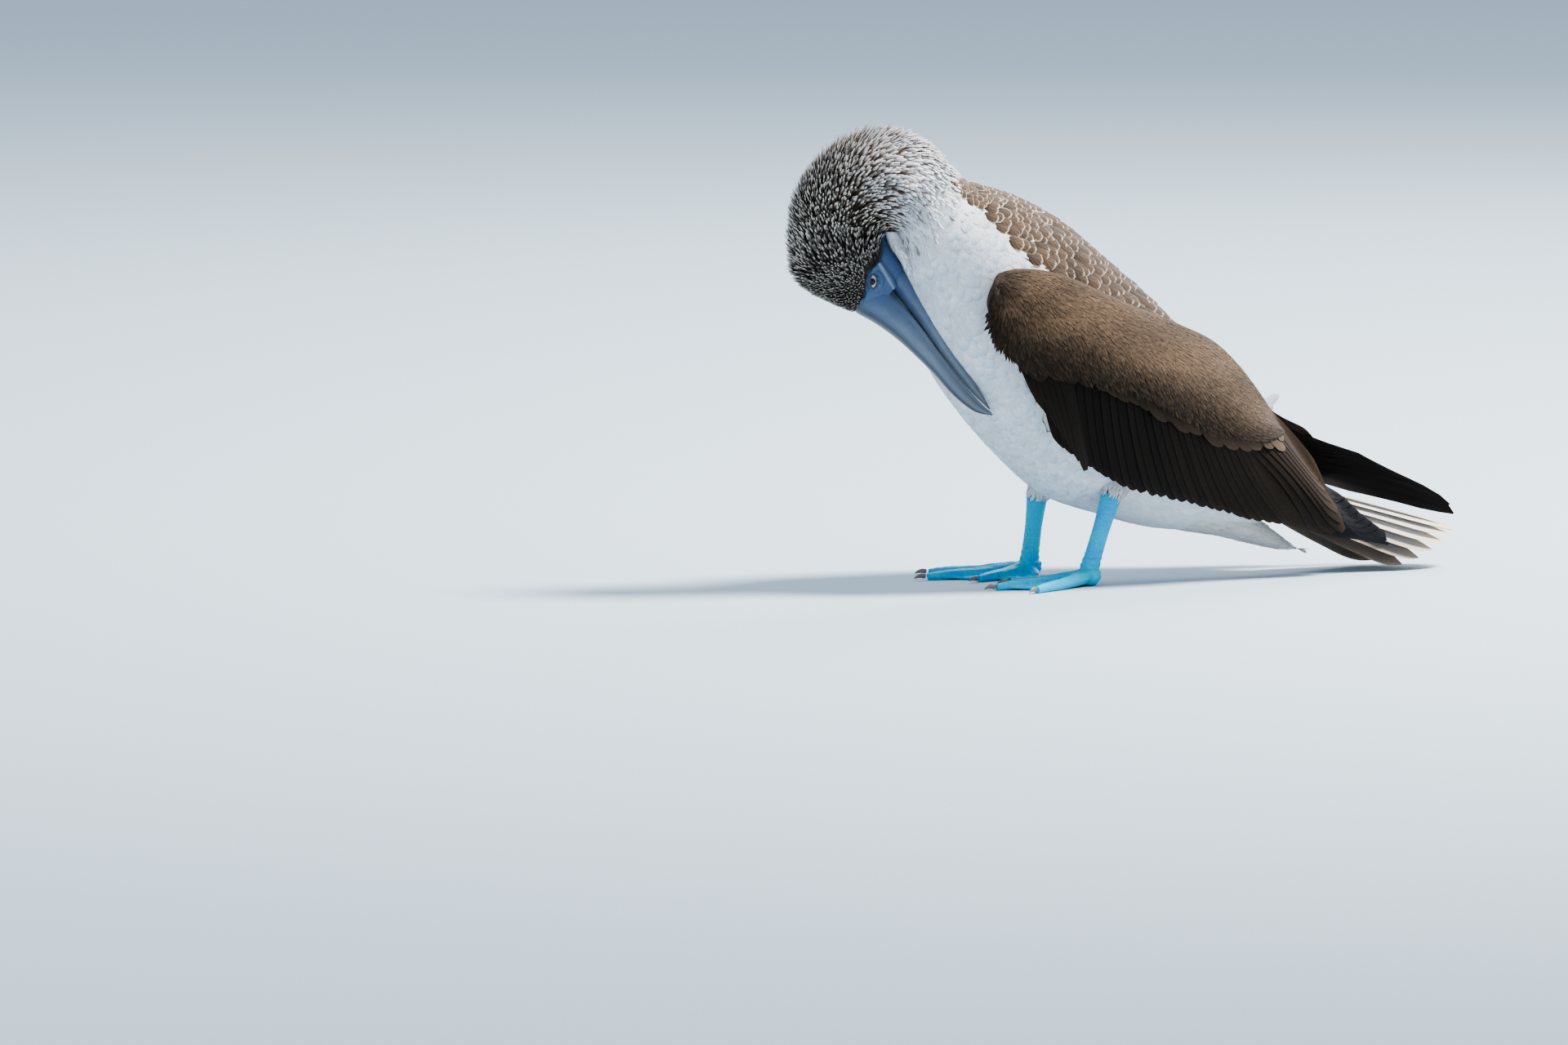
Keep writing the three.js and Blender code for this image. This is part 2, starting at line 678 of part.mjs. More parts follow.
function toeSolid(name, toe) {
  const { at } = toePath(name, toe);
  const heights = [[-0.02, 7], [0.25, 5.2], [0.5, 3.9], [0.75, 3.3], [0.94, 2.5], [1, 2.1]];
  const radii = [5.6, 4.6, 4.1, 3.7, 3.1, TOE_TIP_RADIUS];
  return tube(heights.map(([share, z]) => at(share, z)), radii.map((r) => [r, r * 0.95]),
    { sides: 7, steps: 5, across: vec(0.3, -1, 0) });
}

// A web between two toes, its free edge drawn in between them.
function web(name, first, second) {
  const [p, q] = [toePath(name, first), toePath(name, second)];
  return plate((u, v, face) => {
    const pull = 1 - 0.2 * 4 * v * (1 - v);
    const share = lerp(0.05, 0.96 * pull, u);
    const height = lerp(6.6, 2.2, Math.sqrt(u));
    const sag = 1.1 * 4 * v * (1 - v) * u;
    const point = p.at(share, 0).lerp(q.at(share, 0), v);
    return point.setZ(height - sag + (face * WEB_THICK) / 2);
  }, 3, 3);
}

function foot(name) {
  const toes = TOES.map((toe) => toeSolid(name, toe));
  const webs = [0, 1, 2].map((i) => web(name, TOES[i], TOES[i + 1]));
  const joint = FOOT_JOINTS[name];
  const ball = new THREE.SphereGeometry(KNUCKLE_RADIUS, 9, 7);
  const knuckle = solid(ball.translate(joint.x + 0.5, joint.y, 7.6));
  const shankEnd = ANKLES[name].clone().sub(joint).normalize();
  return join(knuckle, toes, webs)
    .trimByPlane([0, 0, 1], 0)
    .trimByPlane(shankEnd.clone().negate().toArray(), -shankEnd.dot(along(joint, [1.2, shankEnd])));
}

function claw(name, toe) {
  const { run } = toePath(name, toe);
  const start = toePath(name, toe).at(1, 2.1);
  const path = [[1.4, 0.4], [4, 1.2], [7, 0.6], [9.5, -0.8]].map(([reach, lift]) =>
    along(start, [reach, run], [lift, vec(0, 0, 1)]));
  const radii = [[2.1, 1.9], [1.9, 1.6], [1.3, 1], [0.35, 0.3]];
  const curved = tube(path, radii, { sides: 6, steps: 4, across: vec(0.3, -1, 0) });
  return curved.trimByPlane([0, 0, 1], 0.05);
}

// Assembly

const bird = new THREE.Group();
const add = (name, made, material) => bird.add(meshOf(name, made, material));

const eyes = { left: eyeball(1), right: eyeball(-1) };
const { neck, head } = neckAndHead();
const liddedHead = join(head, lids(1), lids(-1));
add("head", liddedHead.subtract(eyeball(1, GAP)).subtract(eyeball(-1, GAP)), MATERIALS.head);
add("eye_left", eyes.left, MATERIALS.eye);
add("eye_right", eyes.right, MATERIALS.eye);
add("bill_upper", billHalf(UPPER_BILL), MATERIALS.bill);
add("bill_lower", billHalf(LOWER_BILL), MATERIALS.bill);
add("neck", neck, MATERIALS.neck);

const torso = join(trunk(), undertail());
const bedded = [
  wingPocket("left"),
  wingPocket("right"),
  tail(GAP),
  thigh("left", GAP),
  thigh("right", GAP),
  shank("left", GAP),
  shank("right", GAP),
  billHalf(LOWER_BILL, GAP),
  billHalf(UPPER_BILL, GAP),
  loft(FLESH, { sides: 18, steps: 10, grow: 3 * GAP, from: HEAD_STARTS, to: 1 }),
].reduce((body, piece) => body.subtract(piece), torso);
add("torso", bedded, MATERIALS.torso);

for (const name of ["left", "right"]) {
  add(`wing_${name}`, wing(name), MATERIALS.wing);
  add(`thigh_${name}`, thigh(name), MATERIALS.torso);
  add(`leg_${name}`, shank(name), MATERIALS.foot);
  add(`foot_${name}`, foot(name), MATERIALS.foot);
  for (const toe of TOES) add(`claw_${name}_${toe.name}`, claw(name, toe), MATERIALS.claw);
}
add("tail", tail(), MATERIALS.tail);

const box = new THREE.Box3().setFromObject(bird);
bird.position.set(-(box.min.x + box.max.x) / 2, -(box.min.y + box.max.y) / 2, -box.min.z);

export default bird;
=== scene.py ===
"""A blue-footed booby at life size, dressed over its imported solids: skin, feathers, bill, eyes and feet.

Shapes are worked out in the bird's own frame, in millimetres: it faces -X, its left side is at -Y, +Z is
up, and the origin lies on the floor between its feet. Pieces are handed on in metres in the model's frame.
"""

import math
from contextlib import contextmanager

import bpy
import numpy as np
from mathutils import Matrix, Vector, kdtree


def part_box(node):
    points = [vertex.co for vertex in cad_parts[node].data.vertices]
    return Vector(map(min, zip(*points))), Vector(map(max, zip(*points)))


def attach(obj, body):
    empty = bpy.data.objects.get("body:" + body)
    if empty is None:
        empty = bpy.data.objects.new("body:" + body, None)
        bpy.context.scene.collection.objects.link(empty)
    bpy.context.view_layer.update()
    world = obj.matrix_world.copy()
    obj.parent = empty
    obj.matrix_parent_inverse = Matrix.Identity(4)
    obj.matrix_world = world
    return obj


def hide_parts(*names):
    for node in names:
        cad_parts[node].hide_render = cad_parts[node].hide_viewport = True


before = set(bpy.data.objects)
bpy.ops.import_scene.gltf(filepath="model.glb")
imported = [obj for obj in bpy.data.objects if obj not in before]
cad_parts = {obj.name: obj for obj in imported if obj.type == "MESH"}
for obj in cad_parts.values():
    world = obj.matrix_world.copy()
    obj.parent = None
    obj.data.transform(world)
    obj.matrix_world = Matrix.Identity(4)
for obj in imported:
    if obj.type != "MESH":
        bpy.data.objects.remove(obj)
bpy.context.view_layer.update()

bl_info = {
    "name": "Blue-footed booby",
    "version": (1, 0, 0),
    "blender": (4, 5, 0),
    "location": "3D View > Sidebar > Booby",
    "description": "Builds the skin, plumage, bill, eyes and feet of a life-size booby",
    "category": "Object",
}

SEEDS = {
    "white coat": 20, "mantle": 21, "undertail": 22, "thighs": 23, "head": 24, "crease": 25,
    "breast scales": 26, "wing left": 30, "wing right": 31, "tail": 40, "face": 50,
}  # fmt: skip


def draws(part):
    """The random numbers of one part of the bird, the same in every run."""
    return np.random.default_rng(SEEDS[part])


# Arithmetic on arrays of points


def array(*rows):
    return np.array(rows if len(rows) > 1 else rows[0], float)


def unit(v):
    return v / np.maximum(np.linalg.norm(v, axis=-1, keepdims=True), 1e-9)


def lerp(a, b, t):
    return a + (b - a) * t


def ramp(x, low, high):
    """0 below low, 1 above high, and smooth between."""
    t = np.clip((np.asarray(x, float) - low) / (high - low), 0, 1)
    return t * t * (3 - 2 * t)


def profile(pairs):
    """A smooth function through (x, value) pairs, level beyond its ends."""
    x, y = np.array(pairs, float).T
    step = np.diff(y) / np.diff(x)
    slope = np.concatenate([step[:1], (step[:-1] + step[1:]) / 2, step[-1:]])

    def value(at):
        at = np.clip(np.asarray(at, float), x[0], x[-1])
        i = np.clip(np.searchsorted(x, at, side="right") - 1, 0, len(x) - 2)
        span = x[i + 1] - x[i]
        t = (at - x[i]) / span
        t2, t3 = t * t, t * t * t
        return (
            y[i] * (2 * t3 - 3 * t2 + 1)
            + slope[i] * span * (t3 - 2 * t2 + t)
            + y[i + 1] * (3 * t2 - 2 * t3)
            + slope[i + 1] * span * (t3 - t2)
        )

    return value


class Path:
    """A centripetal Catmull-Rom curve through points, run straight on beyond its ends."""

    def __init__(self, points):
        p = np.array(points, float)
        self.spans = len(p) - 1
        self.p = np.vstack([2 * p[0] - p[1], p, 2 * p[-1] - p[-2]])

    def inside(self, t):
        s = t * self.spans
        i = np.clip(s.astype(int), 0, self.spans - 1)
        w = (s - i)[..., None]
        p0, p1, p2, p3 = (self.p[i + k] for k in range(4))

        def knot(a, b):
            return np.sum((a - b) ** 2, axis=-1, keepdims=True) ** 0.25

        d1 = knot(p1, p2)
        d1 = np.where(d1 < 1e-4, 1, d1)
        d0, d2 = knot(p0, p1), knot(p2, p3)
        d0 = np.where(d0 < 1e-4, d1, d0)
        d2 = np.where(d2 < 1e-4, d1, d2)
        m1 = ((p1 - p0) / d0 - (p2 - p0) / (d0 + d1) + (p2 - p1) / d1) * d1
        m2 = ((p2 - p1) / d1 - (p3 - p1) / (d1 + d2) + (p3 - p2) / d2) * d1
        bend = 3 * (p2 - p1) - 2 * m1 - m2
        return p1 + w * m1 + w**2 * bend + w**3 * (2 * (p1 - p2) + m1 + m2)

    def __call__(self, t):
        t = np.asarray(t, float)
        held = np.clip(t, 0, 1)
        value = self.inside(held)
        over = (t - held)[..., None]
        if not np.any(over):
            return value
        nudge = 1e-3
        inner = np.where(held > 0.5, held - nudge, held + nudge)
        run = (value - self.inside(inner)) / (held - inner)[..., None]
        return value + run * over


class Loft:
    """A closed form through stations (upper point, lower point, sideways direction, half width).

    t runs from 0 at the first station to 1 at the last, and angle round from the upper side to the left.
    """

    def __init__(self, stations):
        self.upper = Path([s[0] for s in stations])
        self.lower = Path([s[1] for s in stations])
        self.width = Path([array(s[2]) * s[3] for s in stations])

    def __call__(self, t, angle, grow=0.0):
        upper, lower, wide = self.upper(t), self.lower(t), self.width(t)
        half, centre = (upper - lower) / 2, (upper + lower) / 2
        grow = np.asarray(grow, float)[..., None] if np.ndim(grow) else grow
        half = half + unit(half) * grow
        wide = wide + unit(wide) * grow
        turn = np.asarray(angle, float)[..., None]
        return centre + half * np.cos(turn) + wide * np.sin(turn)

    def middle(self, t, angle=0.0):
        """The line through the form's middle, which is the same at every angle."""
        return (self.upper(t) + self.lower(t)) / 2


# The bird's measures, in millimetres

HEAD_TURN = math.radians(25)
BILL_PITCH = math.radians(49.4)
HEAD_ROLL = math.radians(16)
NECK_PIVOT = array(-126.5, -3, 236.8)
HEAD_CENTRE = array(-143, -2, 205)
CREASE_RADIUS = 1.6
EYE_SET = 12.5
EYE_RADIUS = 8.5
UP = array(0, 0, 1)
LEFT = array(0, -1, 0)

BACK = array(math.cos(HEAD_TURN), -math.sin(HEAD_TURN), 0)
FORWARD = math.cos(BILL_PITCH) * BACK - math.sin(BILL_PITCH) * UP
CROWN = -math.sin(BILL_PITCH) * BACK - math.cos(BILL_PITCH) * UP
OUTWARD = np.cross(CROWN, FORWARD)
HEAD_UP = math.cos(HEAD_ROLL) * CROWN + math.sin(HEAD_ROLL) * OUTWARD
HEAD_LEFT = math.cos(HEAD_ROLL) * OUTWARD - math.sin(HEAD_ROLL) * CROWN


def in_head(forward, up, left=0.0):
    """A place given by how far forward, up and left it lies from between the eyes."""
    parts = [np.asarray(v, float)[..., None] for v in (forward, up, left)]
    return HEAD_CENTRE + parts[0] * FORWARD + parts[1] * HEAD_UP + parts[2] * HEAD_LEFT


def head_measures(points):
    """How far forward, up and left points lie from between the eyes."""
    away = points - HEAD_CENTRE
    return away @ FORWARD, away @ HEAD_UP, away @ HEAD_LEFT


TRUNK = [
    (174, 63, 167, 45, 15), (156, 84, 141, 34, 29), (129, 118, 108, 31, 42), (97, 153, 65, 34, 51),
    (60, 190, 24, 45, 57), (27, 217, -12, 58, 58), (-4, 242, -47, 87, 57), (-34, 258, -81, 126, 57),
    (-57, 266, -104, 163, 52), (-74, 271, -122, 203, 42),
]  # fmt: skip
ARCH = [
    (49, 59, 34), (70, 63.5, 33), (91, 67.5, 33), (112, 69, 32.5), (135, 68.5, 31), (158, 67.5, 29),
    (180, 66.5, 27),
]  # fmt: skip
SKULL = [
    (-37, 32.5, -13, -27, 25), (-21, 32.5, -6, -25.4, 23), (-5, 27.5, 3, -23.4, 20), (9.5, 20.2, 10, -21.6, 15),
]  # fmt: skip
UNDERTAIL = [
    (60, 70, 58, 38, 26), (92, 58, 88, 31, 25), (118, 50, 114, 26.5, 21), (146, 36, 142, 19.5, 12),
    (164, 23, 162, 15.5, 5), (173, 16.6, 173, 15.4, 1),
]  # fmt: skip
UPPER_BILL = [
    (10.4, 19.4, -7.6, 14), (24, 14.4, -7.5, 12.6), (40, 10.5, -7.3, 10.6), (57, 8.3, -5.9, 8.6),
    (75, 6.9, -4.3, 7), (88, 6.8, -3.8, 6), (101, 5.4, -3.7, 4.9), (112.5, 2, -4.4, 3.4),
    (118.5, -2.6, -5.6, 1.5), (120.5, -4.4, -5.4, 0.4),
]  # fmt: skip
LOWER_BILL = [
    (10.4, -8, -21.5, 12.4), (28, -8, -19.7, 10.4), (50, -6.9, -16.4, 8.2), (66, -5.4, -13.7, 6.8),
    (81, -4.7, -11.9, 5.4), (95, -4.3, -10.6, 4.2), (107, -4.9, -8.7, 2.6), (114, -5.6, -7.1, 1.1),
    (116.5, -6, -6.7, 0.4),
]  # fmt: skip


def level_stations(rows):
    return [(array(a, 0, b), array(c, 0, d), LEFT, w) for a, b, c, d, w in rows]


def arch_station(degrees, radius, width):
    turn = math.radians(degrees)
    spoke = math.cos(turn) * BACK + math.sin(turn) * UP
    return (NECK_PIVOT + radius * spoke, NECK_PIVOT + CREASE_RADIUS * spoke, OUTWARD, width)


def skull_station(f_top, up_top, f_chin, up_chin, width):
    return (in_head(f_top, up_top), in_head(f_chin, up_chin), HEAD_LEFT, width)


def bill_stations(rows):
    return [(in_head(f, top), in_head(f, low), HEAD_LEFT, w) for f, top, low, w in rows]


FLESH = Loft(
    level_stations(TRUNK) + [arch_station(*row) for row in ARCH] + [skull_station(*row) for row in SKULL]
)
STATIONS = len(TRUNK) + len(ARCH) + len(SKULL) - 1
UNDERTAIL_LOFT = Loft(level_stations(UNDERTAIL))

# Wings: a runs from the wrist towards the tail, c down across the wing, h out from its sheet

bulge_middle = profile([
    (-10, 58), (30, 68), (90, 73), (150, 72), (200, 66), (240, 56), (290, 46), (326, 38), (370, 31), (420, 15),
])  # fmt: skip
bulge_top = profile([
    (-10, 48), (30, 57), (60, 54), (100, 47), (140, 34), (180, 20), (215, 14), (254, 14), (290, 22),
    (326, 33.5), (370, 31), (420, 15),
])  # fmt: skip
bulge_bottom = profile([
    (-10, 56), (30, 65), (65, 66), (105, 62), (150, 58), (200, 52), (240, 45), (290, 37), (326, 31),
    (370, 26), (420, 14),
])  # fmt: skip
wing_top = profile([
    (4, -20), (9, -28), (20, -36), (51, -47), (99, -54), (125, -59), (151, -64), (174, -68.5), (194, -68),
    (213, -64), (230, -58), (246, -51), (263, -42), (278, -34), (296, -25), (310, -18), (326, -4),
])  # fmt: skip
wing_bottom = profile([
    (4, -8), (13, 6), (23, 15), (39, 25), (57, 33), (75, 42), (88, 50), (105, 54), (122, 54.5), (154, 54),
    (173, 51), (194, 44), (216, 37), (247, 28), (265, 23), (284, 15), (303, 9), (326, 1),
])  # fmt: skip
covert_line = profile([(30, 24), (51, 23), (88, 9), (134, -2), (177, -5), (218, -13), (250, -31)])
CORE_TOP = [
    (4, -17), (7, -26), (14, -32), (30, -40.5), (51, -47), (99, -54), (151, -64), (190, -68.5), (226, -60),
    (254, -47),
]  # fmt: skip
CORE_BOTTOM = [
    (4, -12), (8, -1), (18, 10), (34, 17), (52, 16), (88, 3), (134, -8), (178, -11), (218, -20), (248, -37),
]  # fmt: skip


class Wing:
    """A folded wing's curved sheet."""

    def __init__(self, side, wrist, slope, reach, rise, high, low):
        """high and low are the outlines of the primaries: c at each a, out to reach."""
        self.side, self.wrist, self.slope = side, wrist, math.radians(slope)
        self.reach, self.rise, self.high, self.low = reach, rise, profile(high), profile(low)
        self.core_top = Path([(a, c, 0) for a, c in CORE_TOP])
        self.core_bottom = Path([(a, c, 0) for a, c in CORE_BOTTOM])

    def out(self, a, c):
        middle = (wing_top(a) + wing_bottom(a)) / 2
        depth = np.maximum(12, (wing_bottom(a) - wing_top(a)) / 2)
        v = np.clip((c - middle) / depth, -1.1, 1.1)
        return lerp(bulge_middle(a), np.where(v < 0, bulge_top(a), bulge_bottom(a)), v * v)

    def __call__(self, a, c, h=0.0):
        a, c = np.broadcast_arrays(np.asarray(a, float), np.asarray(c, float))
        raised = np.where(c < 0, c * self.rise(a), c)
        cos, sin = math.cos(self.slope), math.sin(self.slope)
        return np.stack([
            self.wrist[0] + a * cos - raised * sin,
            -self.side * (self.out(a, c) + h),
            self.wrist[1] - a * sin - raised * cos,
        ], axis=-1)  # fmt: skip

    def measures(self, points):
        """The a and c of points, and how far out from the sheet they stand."""
        x, z = points[..., 0] - self.wrist[0], points[..., 2] - self.wrist[1]
        cos, sin = math.cos(self.slope), math.sin(self.slope)
        a, c = x * cos - z * sin, -x * sin - z * cos
        c = np.where(c < 0, c / np.maximum(self.rise(a), 0.05), c)
        return a, c, -self.side * points[..., 1] - self.out(a, c)

    def core(self, u, v, face=1, grow=0.0):
        """The surface of the wing's fleshy front: u along it and v down across it, from 0 to 1."""
        spot = lerp(self.core_top(u), self.core_bottom(u), np.asarray(v, float)[..., None])
        edge = np.sqrt(np.clip(1 - (2 * np.asarray(v) - 1) ** 4, 0, 1))
        end = np.sqrt(np.clip(1 - (2 * np.asarray(u) - 1) ** 8, 0.03, 1))
        h = 3.4 * edge * end if face > 0 else -2 - 6.6 * edge * end
        return self(spot[..., 0], spot[..., 1], h + grow)

    def cover(self, u, v):
        """What the small coverts lie on: the core and the roots of the large coverts."""
        v = np.asarray(v, float)
        spot = lerp(self.core_top(u), self.core_bottom(u), v[..., None])
        edge = np.sqrt(np.clip(1 - np.clip(1 - 2 * v, 0, 1) ** 4, 0, 1))
        end = np.sqrt(np.clip(1 - (2 * np.asarray(u) - 1) ** 8, 0.03, 1))
        h = lerp(3.4 * edge * end, 4.9, ramp(v, 0.45, 0.8))
        return self(spot[..., 0], spot[..., 1] + 2.5 * ramp(v, 0.6, 1.0), h)


def flat_rise(a):
    return np.ones_like(np.asarray(a, float))


WINGS = {
    "left": Wing(
        1, (-90, 195), 31, 366, flat_rise,
        [(40, -8), (100, 2), (200, -4), (260, -19), (302, -25.5), (316, -25), (337, -20.5), (358, -18.5),
         (366, -14)],
        [(40, 8), (100, 32), (150, 36), (200, 32), (250, 22), (289, 11), (323, 3), (349, -7), (366, -13)],
    ),
    "right": Wing(
        -1, (-80, 209), 26.6, 414, profile([(0, 0.78), (200, 0.5), (265, 0.34), (300, 0.55), (340, 0.95)]),
        [(40, -8), (100, -2), (200, -14), (250, -26), (275, -30), (292, -28), (331, -23), (364, -21.5),
         (394, -21), (410, -17), (414, -13)],
        [(40, 8), (100, 28), (200, 30), (260, 20), (314, 10.5), (343, 5.5), (371, -1), (400, -7),
         (414, -11.5)],
    ),
}  # fmt: skip

EYE_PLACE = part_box("eye_left")
SHIFT = np.array((EYE_PLACE[0] + EYE_PLACE[1]) / 2) * 1000 - in_head(0, 0, EYE_SET)


def to_model(points):
    """Bird millimetres to model metres."""
    return (points + SHIFT) / 1000


def to_bird(points):
    return points * 1000 - SHIFT


# Materials


class Wire:
    """An output of a material's node. Arithmetic on it adds Math nodes."""

    def __init__(self, paint, socket):
        self.paint, self.socket = paint, socket

    def _math(self, operation, *values):
        return self.paint.add("ShaderNodeMath", {"operation": operation}, dict(enumerate(values)))

    def __add__(self, other):
        return self._math("ADD", self, other)

    def __sub__(self, other):
        return self._math("SUBTRACT", self, other)

    def __rsub__(self, other):
        return self._math("SUBTRACT", other, self)

    def __mul__(self, other):
        return self._math("MULTIPLY", self, other)

    __radd__, __rmul__ = __add__, __mul__

    def size(self):
        return self._math("ABSOLUTE", self)

    def sine(self):
        return self._math("SINE", self)

    def at_least(self, other):
        return self._math("MAXIMUM", self, other)

    def ramp(self, low, high):
        """0 below low, 1 above high, and smooth between; low may be the higher."""
        return self.paint.add(
            "ShaderNodeMapRange",
            {"interpolation_type": "SMOOTHSTEP"},
            {"Value": self, "From Min": low, "From Max": high},
        )


class Paint:
    """A new material and the nodes that colour it."""

    def __init__(self, name, roughness=0.7, sheen=0.0, specular=0.3, coat=0.0, subsurface=0.0):
        self.material = bpy.data.materials.new(name)
        self.material.use_nodes = True
        self.tree = self.material.node_tree
        self.shader = self.tree.nodes["Principled BSDF"]
        self.set("Roughness", roughness)
        self.set("Sheen Weight", sheen)
        self.set("Specular IOR Level", specular)
        self.set("Coat Weight", coat)
        self.set("Subsurface Weight", subsurface)
        self.set("Subsurface Radius", (0.004, 0.002, 0.002))

    def set(self, name, value):
        self._feed(self.shader.inputs[name], value)

    def _feed(self, socket, value):
        if isinstance(value, Wire):
            self.tree.links.new(value.socket, socket)
        elif socket.type == "RGBA":
            socket.default_value = (*value, 1)
        else:
            socket.default_value = value

    def add(self, kind, settings=None, values=None, out=0):
        """Adds a node: its settings first, then the values or links of its inputs."""
        node = self.tree.nodes.new(kind)
        for key, value in (settings or {}).items():
            setattr(node, key, value)
        for key, value in (values or {}).items():
            self._feed(node.inputs[key], value)
        return Wire(self, node.outputs[out])

    def mix(self, share, a, b):
        return self.add("ShaderNodeMix", {"data_type": "RGBA"}, {0: share, 6: a, 7: b}, out=2)

    def shade(self, colour, factor):
        """A colour made lighter or darker by a factor."""
        return self.add(
            "ShaderNodeVectorMath", {"operation": "SCALE"}, {0: colour, "Scale": factor}
        )

    def noise(self, scale, detail=2.0):
        values = {"Scale": scale, "Detail": detail, "Roughness": 0.5, "Vector": self.place()}
        return self.add("ShaderNodeTexNoise", None, values)

    def place(self):
        return self.add("ShaderNodeTexCoord", out=3)

    def attribute(self, name):
        return self.add("ShaderNodeAttribute", {"attribute_name": name})

    def split_uv(self, name):
        uv = self.add("ShaderNodeUVMap", {"uv_map": name})
        node = self.add("ShaderNodeSeparateXYZ", None, {0: uv}).socket.node
        return Wire(self, node.outputs[0]), Wire(self, node.outputs[1])

    def bump(self, height, distance, strength=0.6):
        self.set(
            "Normal",
            self.add("ShaderNodeBump", None, {"Height": height, "Distance": distance, "Strength": strength}),
        )


def feather_paint(
    name, roughness=0.75, fringe=(0.6, 0.9), edge=0.0, shaft=0.0, barbs=26.0, barb_light=0.05, relief=0.5,
    sheen=0.15, specular=0.25, root=1.0, soft=0.0,
):  # fmt: skip
    """Feathers coloured from their own base and tip attributes.

    fringe says where along a feather its tip's colour begins and is full, and edge how much of that
    colour runs back along its sides. shaft is how light its shaft is, root how dark its root (partly the
    feather's own darker base, partly painted shade under the feather that overlaps it), and soft how
    strongly broad painted shade mottles the feathers, drifting from one feather to the next.
    """
    paint = Paint(name, roughness=roughness, sheen=sheen, specular=specular)
    along, across = paint.split_uv("vane")
    side = (across * 2 - 1).size()
    mottle = paint.noise(900, 2)
    tip = (along + (mottle - 0.5) * 0.16 + side * side * 0.12).ramp(*fringe)
    if edge:
        tip = tip.at_least((side + (mottle - 0.5) * 0.2).ramp(0.66, 0.98) * edge)
    colour = paint.mix(tip, paint.attribute("base"), paint.attribute("tip"))
    barb = (along * barbs - side * barbs * 0.5 + mottle * 2.5).sine()
    ridge = side.ramp(0.1, 0.02)
    light = 0.93 + barb * barb_light + (mottle - 0.5) * 0.25 + ridge * shaft
    # Painted shade, with the feather's own darker base: each root darkens where the feather before it overlaps
    if root < 1:
        light = light * (along.ramp(0.25, 0.85) * (1 - root) + root)
    # Painted shade: broad, soft greyer patches mottle the feathers
    if soft:
        light = light * ((paint.noise(55, 3) - 0.5) * soft + 0.99)
    paint.set("Base Color", paint.shade(colour, light))
    paint.bump(barb * 0.5 + ridge * 1.5, 0.0004, relief)
    return paint.material


# Meshes


def deselect():
    bpy.ops.object.select_all(action="DESELECT")


def only(obj):
    deselect()
    obj.select_set(True)
    bpy.context.view_layer.objects.active = obj
    return obj


def finish_piece(obj, material, slot, *nodes):
    """Gives a finished piece its material and hides the solids it stands for."""
    obj.data.materials.clear()
    obj.data.materials.append(material)
    count = len(obj.data.polygons)
    obj.data.polygons.foreach_set("material_index", np.zeros(count, np.int32))
    obj.data.polygons.foreach_set("use_smooth", np.ones(count, bool))
    obj.data.update()
    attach(obj, "root")
    if nodes:
        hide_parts(*nodes)
    return obj


@contextmanager
def editing(obj):
    """Edit mode, with the whole of one object selected."""
    only(obj)
    bpy.ops.object.mode_set(mode="EDIT")
    bpy.ops.mesh.select_all(action="SELECT")
    yield
    bpy.ops.object.mode_set(mode="OBJECT")


def face_outwards(obj):
    with editing(obj):
        bpy.ops.mesh.normals_make_consistent(inside=False)
    return obj


def new_primitive(name, add, **settings):
    """A new mesh from one of Blender's primitive operators, alone in the selection."""
    deselect()
    add(**settings)
    obj = bpy.context.object
    obj.name = obj.data.name = name
    return obj


def mesh_object(name, points, faces):
    """A mesh from an array of points, in bird millimetres, and an array of faces with equal corners."""
    mesh = bpy.data.meshes.new(name)
    count, corners = faces.shape
    mesh.vertices.add(len(points))
    mesh.vertices.foreach_set("co", to_model(points).astype(np.float32).ravel())
    mesh.loops.add(faces.size)
    mesh.loops.foreach_set("vertex_index", faces.astype(np.int32).ravel())
    mesh.polygons.add(count)
    mesh.polygons.foreach_set("loop_start", np.arange(0, faces.size, corners, dtype=np.int32))
    mesh.polygons.foreach_set("loop_total", np.full(count, corners, np.int32))
    mesh.update(calc_edges=True)
    mesh.validate()
    obj = bpy.data.objects.new(name, mesh)
    bpy.context.scene.collection.objects.link(obj)
    return obj


def set_uv(obj, name, uv):
    layer = obj.data.uv_layers.new(name=name)
    index = np.zeros(len(obj.data.loops), np.int32)
    obj.data.loops.foreach_get("vertex_index", index)
    layer.data.foreach_set("uv", uv[index].astype(np.float32).ravel())


def set_colour(obj, name, colours):
    layer = obj.data.attributes.new(name, "FLOAT_COLOR", "POINT")
    rgba = np.ones((len(colours), 4), np.float32)
    rgba[:, :3] = colours
    layer.data.foreach_set("color", rgba.ravel())


def apply(obj, kind, **settings):
    only(obj)
    modifier = obj.modifiers.new(kind.lower(), kind)
    for key, value in settings.items():
        setattr(modifier, key, value)
    bpy.ops.object.modifier_apply(modifier=modifier.name)
    return obj


def clean_copy(name, *nodes):
    """One object with copies of solids, their loose corners merged."""
    deselect()
    copies = []
    for node in nodes:
        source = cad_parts[node]
        copy = bpy.data.objects.new(name, source.data.copy())
        bpy.context.scene.collection.objects.link(copy)
        copies.append(copy)
    for copy in copies:
        copy.select_set(True)
    bpy.context.view_layer.objects.active = copies[0]
    if len(copies) > 1:
        bpy.ops.object.join()
    obj = copies[0]
    with editing(obj):
        bpy.ops.mesh.remove_doubles(threshold=1e-5)
        bpy.ops.mesh.normals_make_consistent(inside=False)
    for layer in list(obj.data.attributes):
        if not layer.is_internal and not layer.is_required:
            obj.data.attributes.remove(layer)
    return obj


def read_vectors(items, name):
    """An array of one vector for each item of a mesh."""
    values = np.zeros(len(items) * 3, np.float32)
    items.foreach_get(name, values)
    return values.reshape(-1, 3).astype(float)


def vertex_array(obj):
    return read_vectors(obj.data.vertices, "co")


def move_vertices(obj, points):
    """Puts an object's corners at points given in the model's metres."""
    obj.data.vertices.foreach_set("co", points.astype(np.float32).ravel())
    obj.data.update()


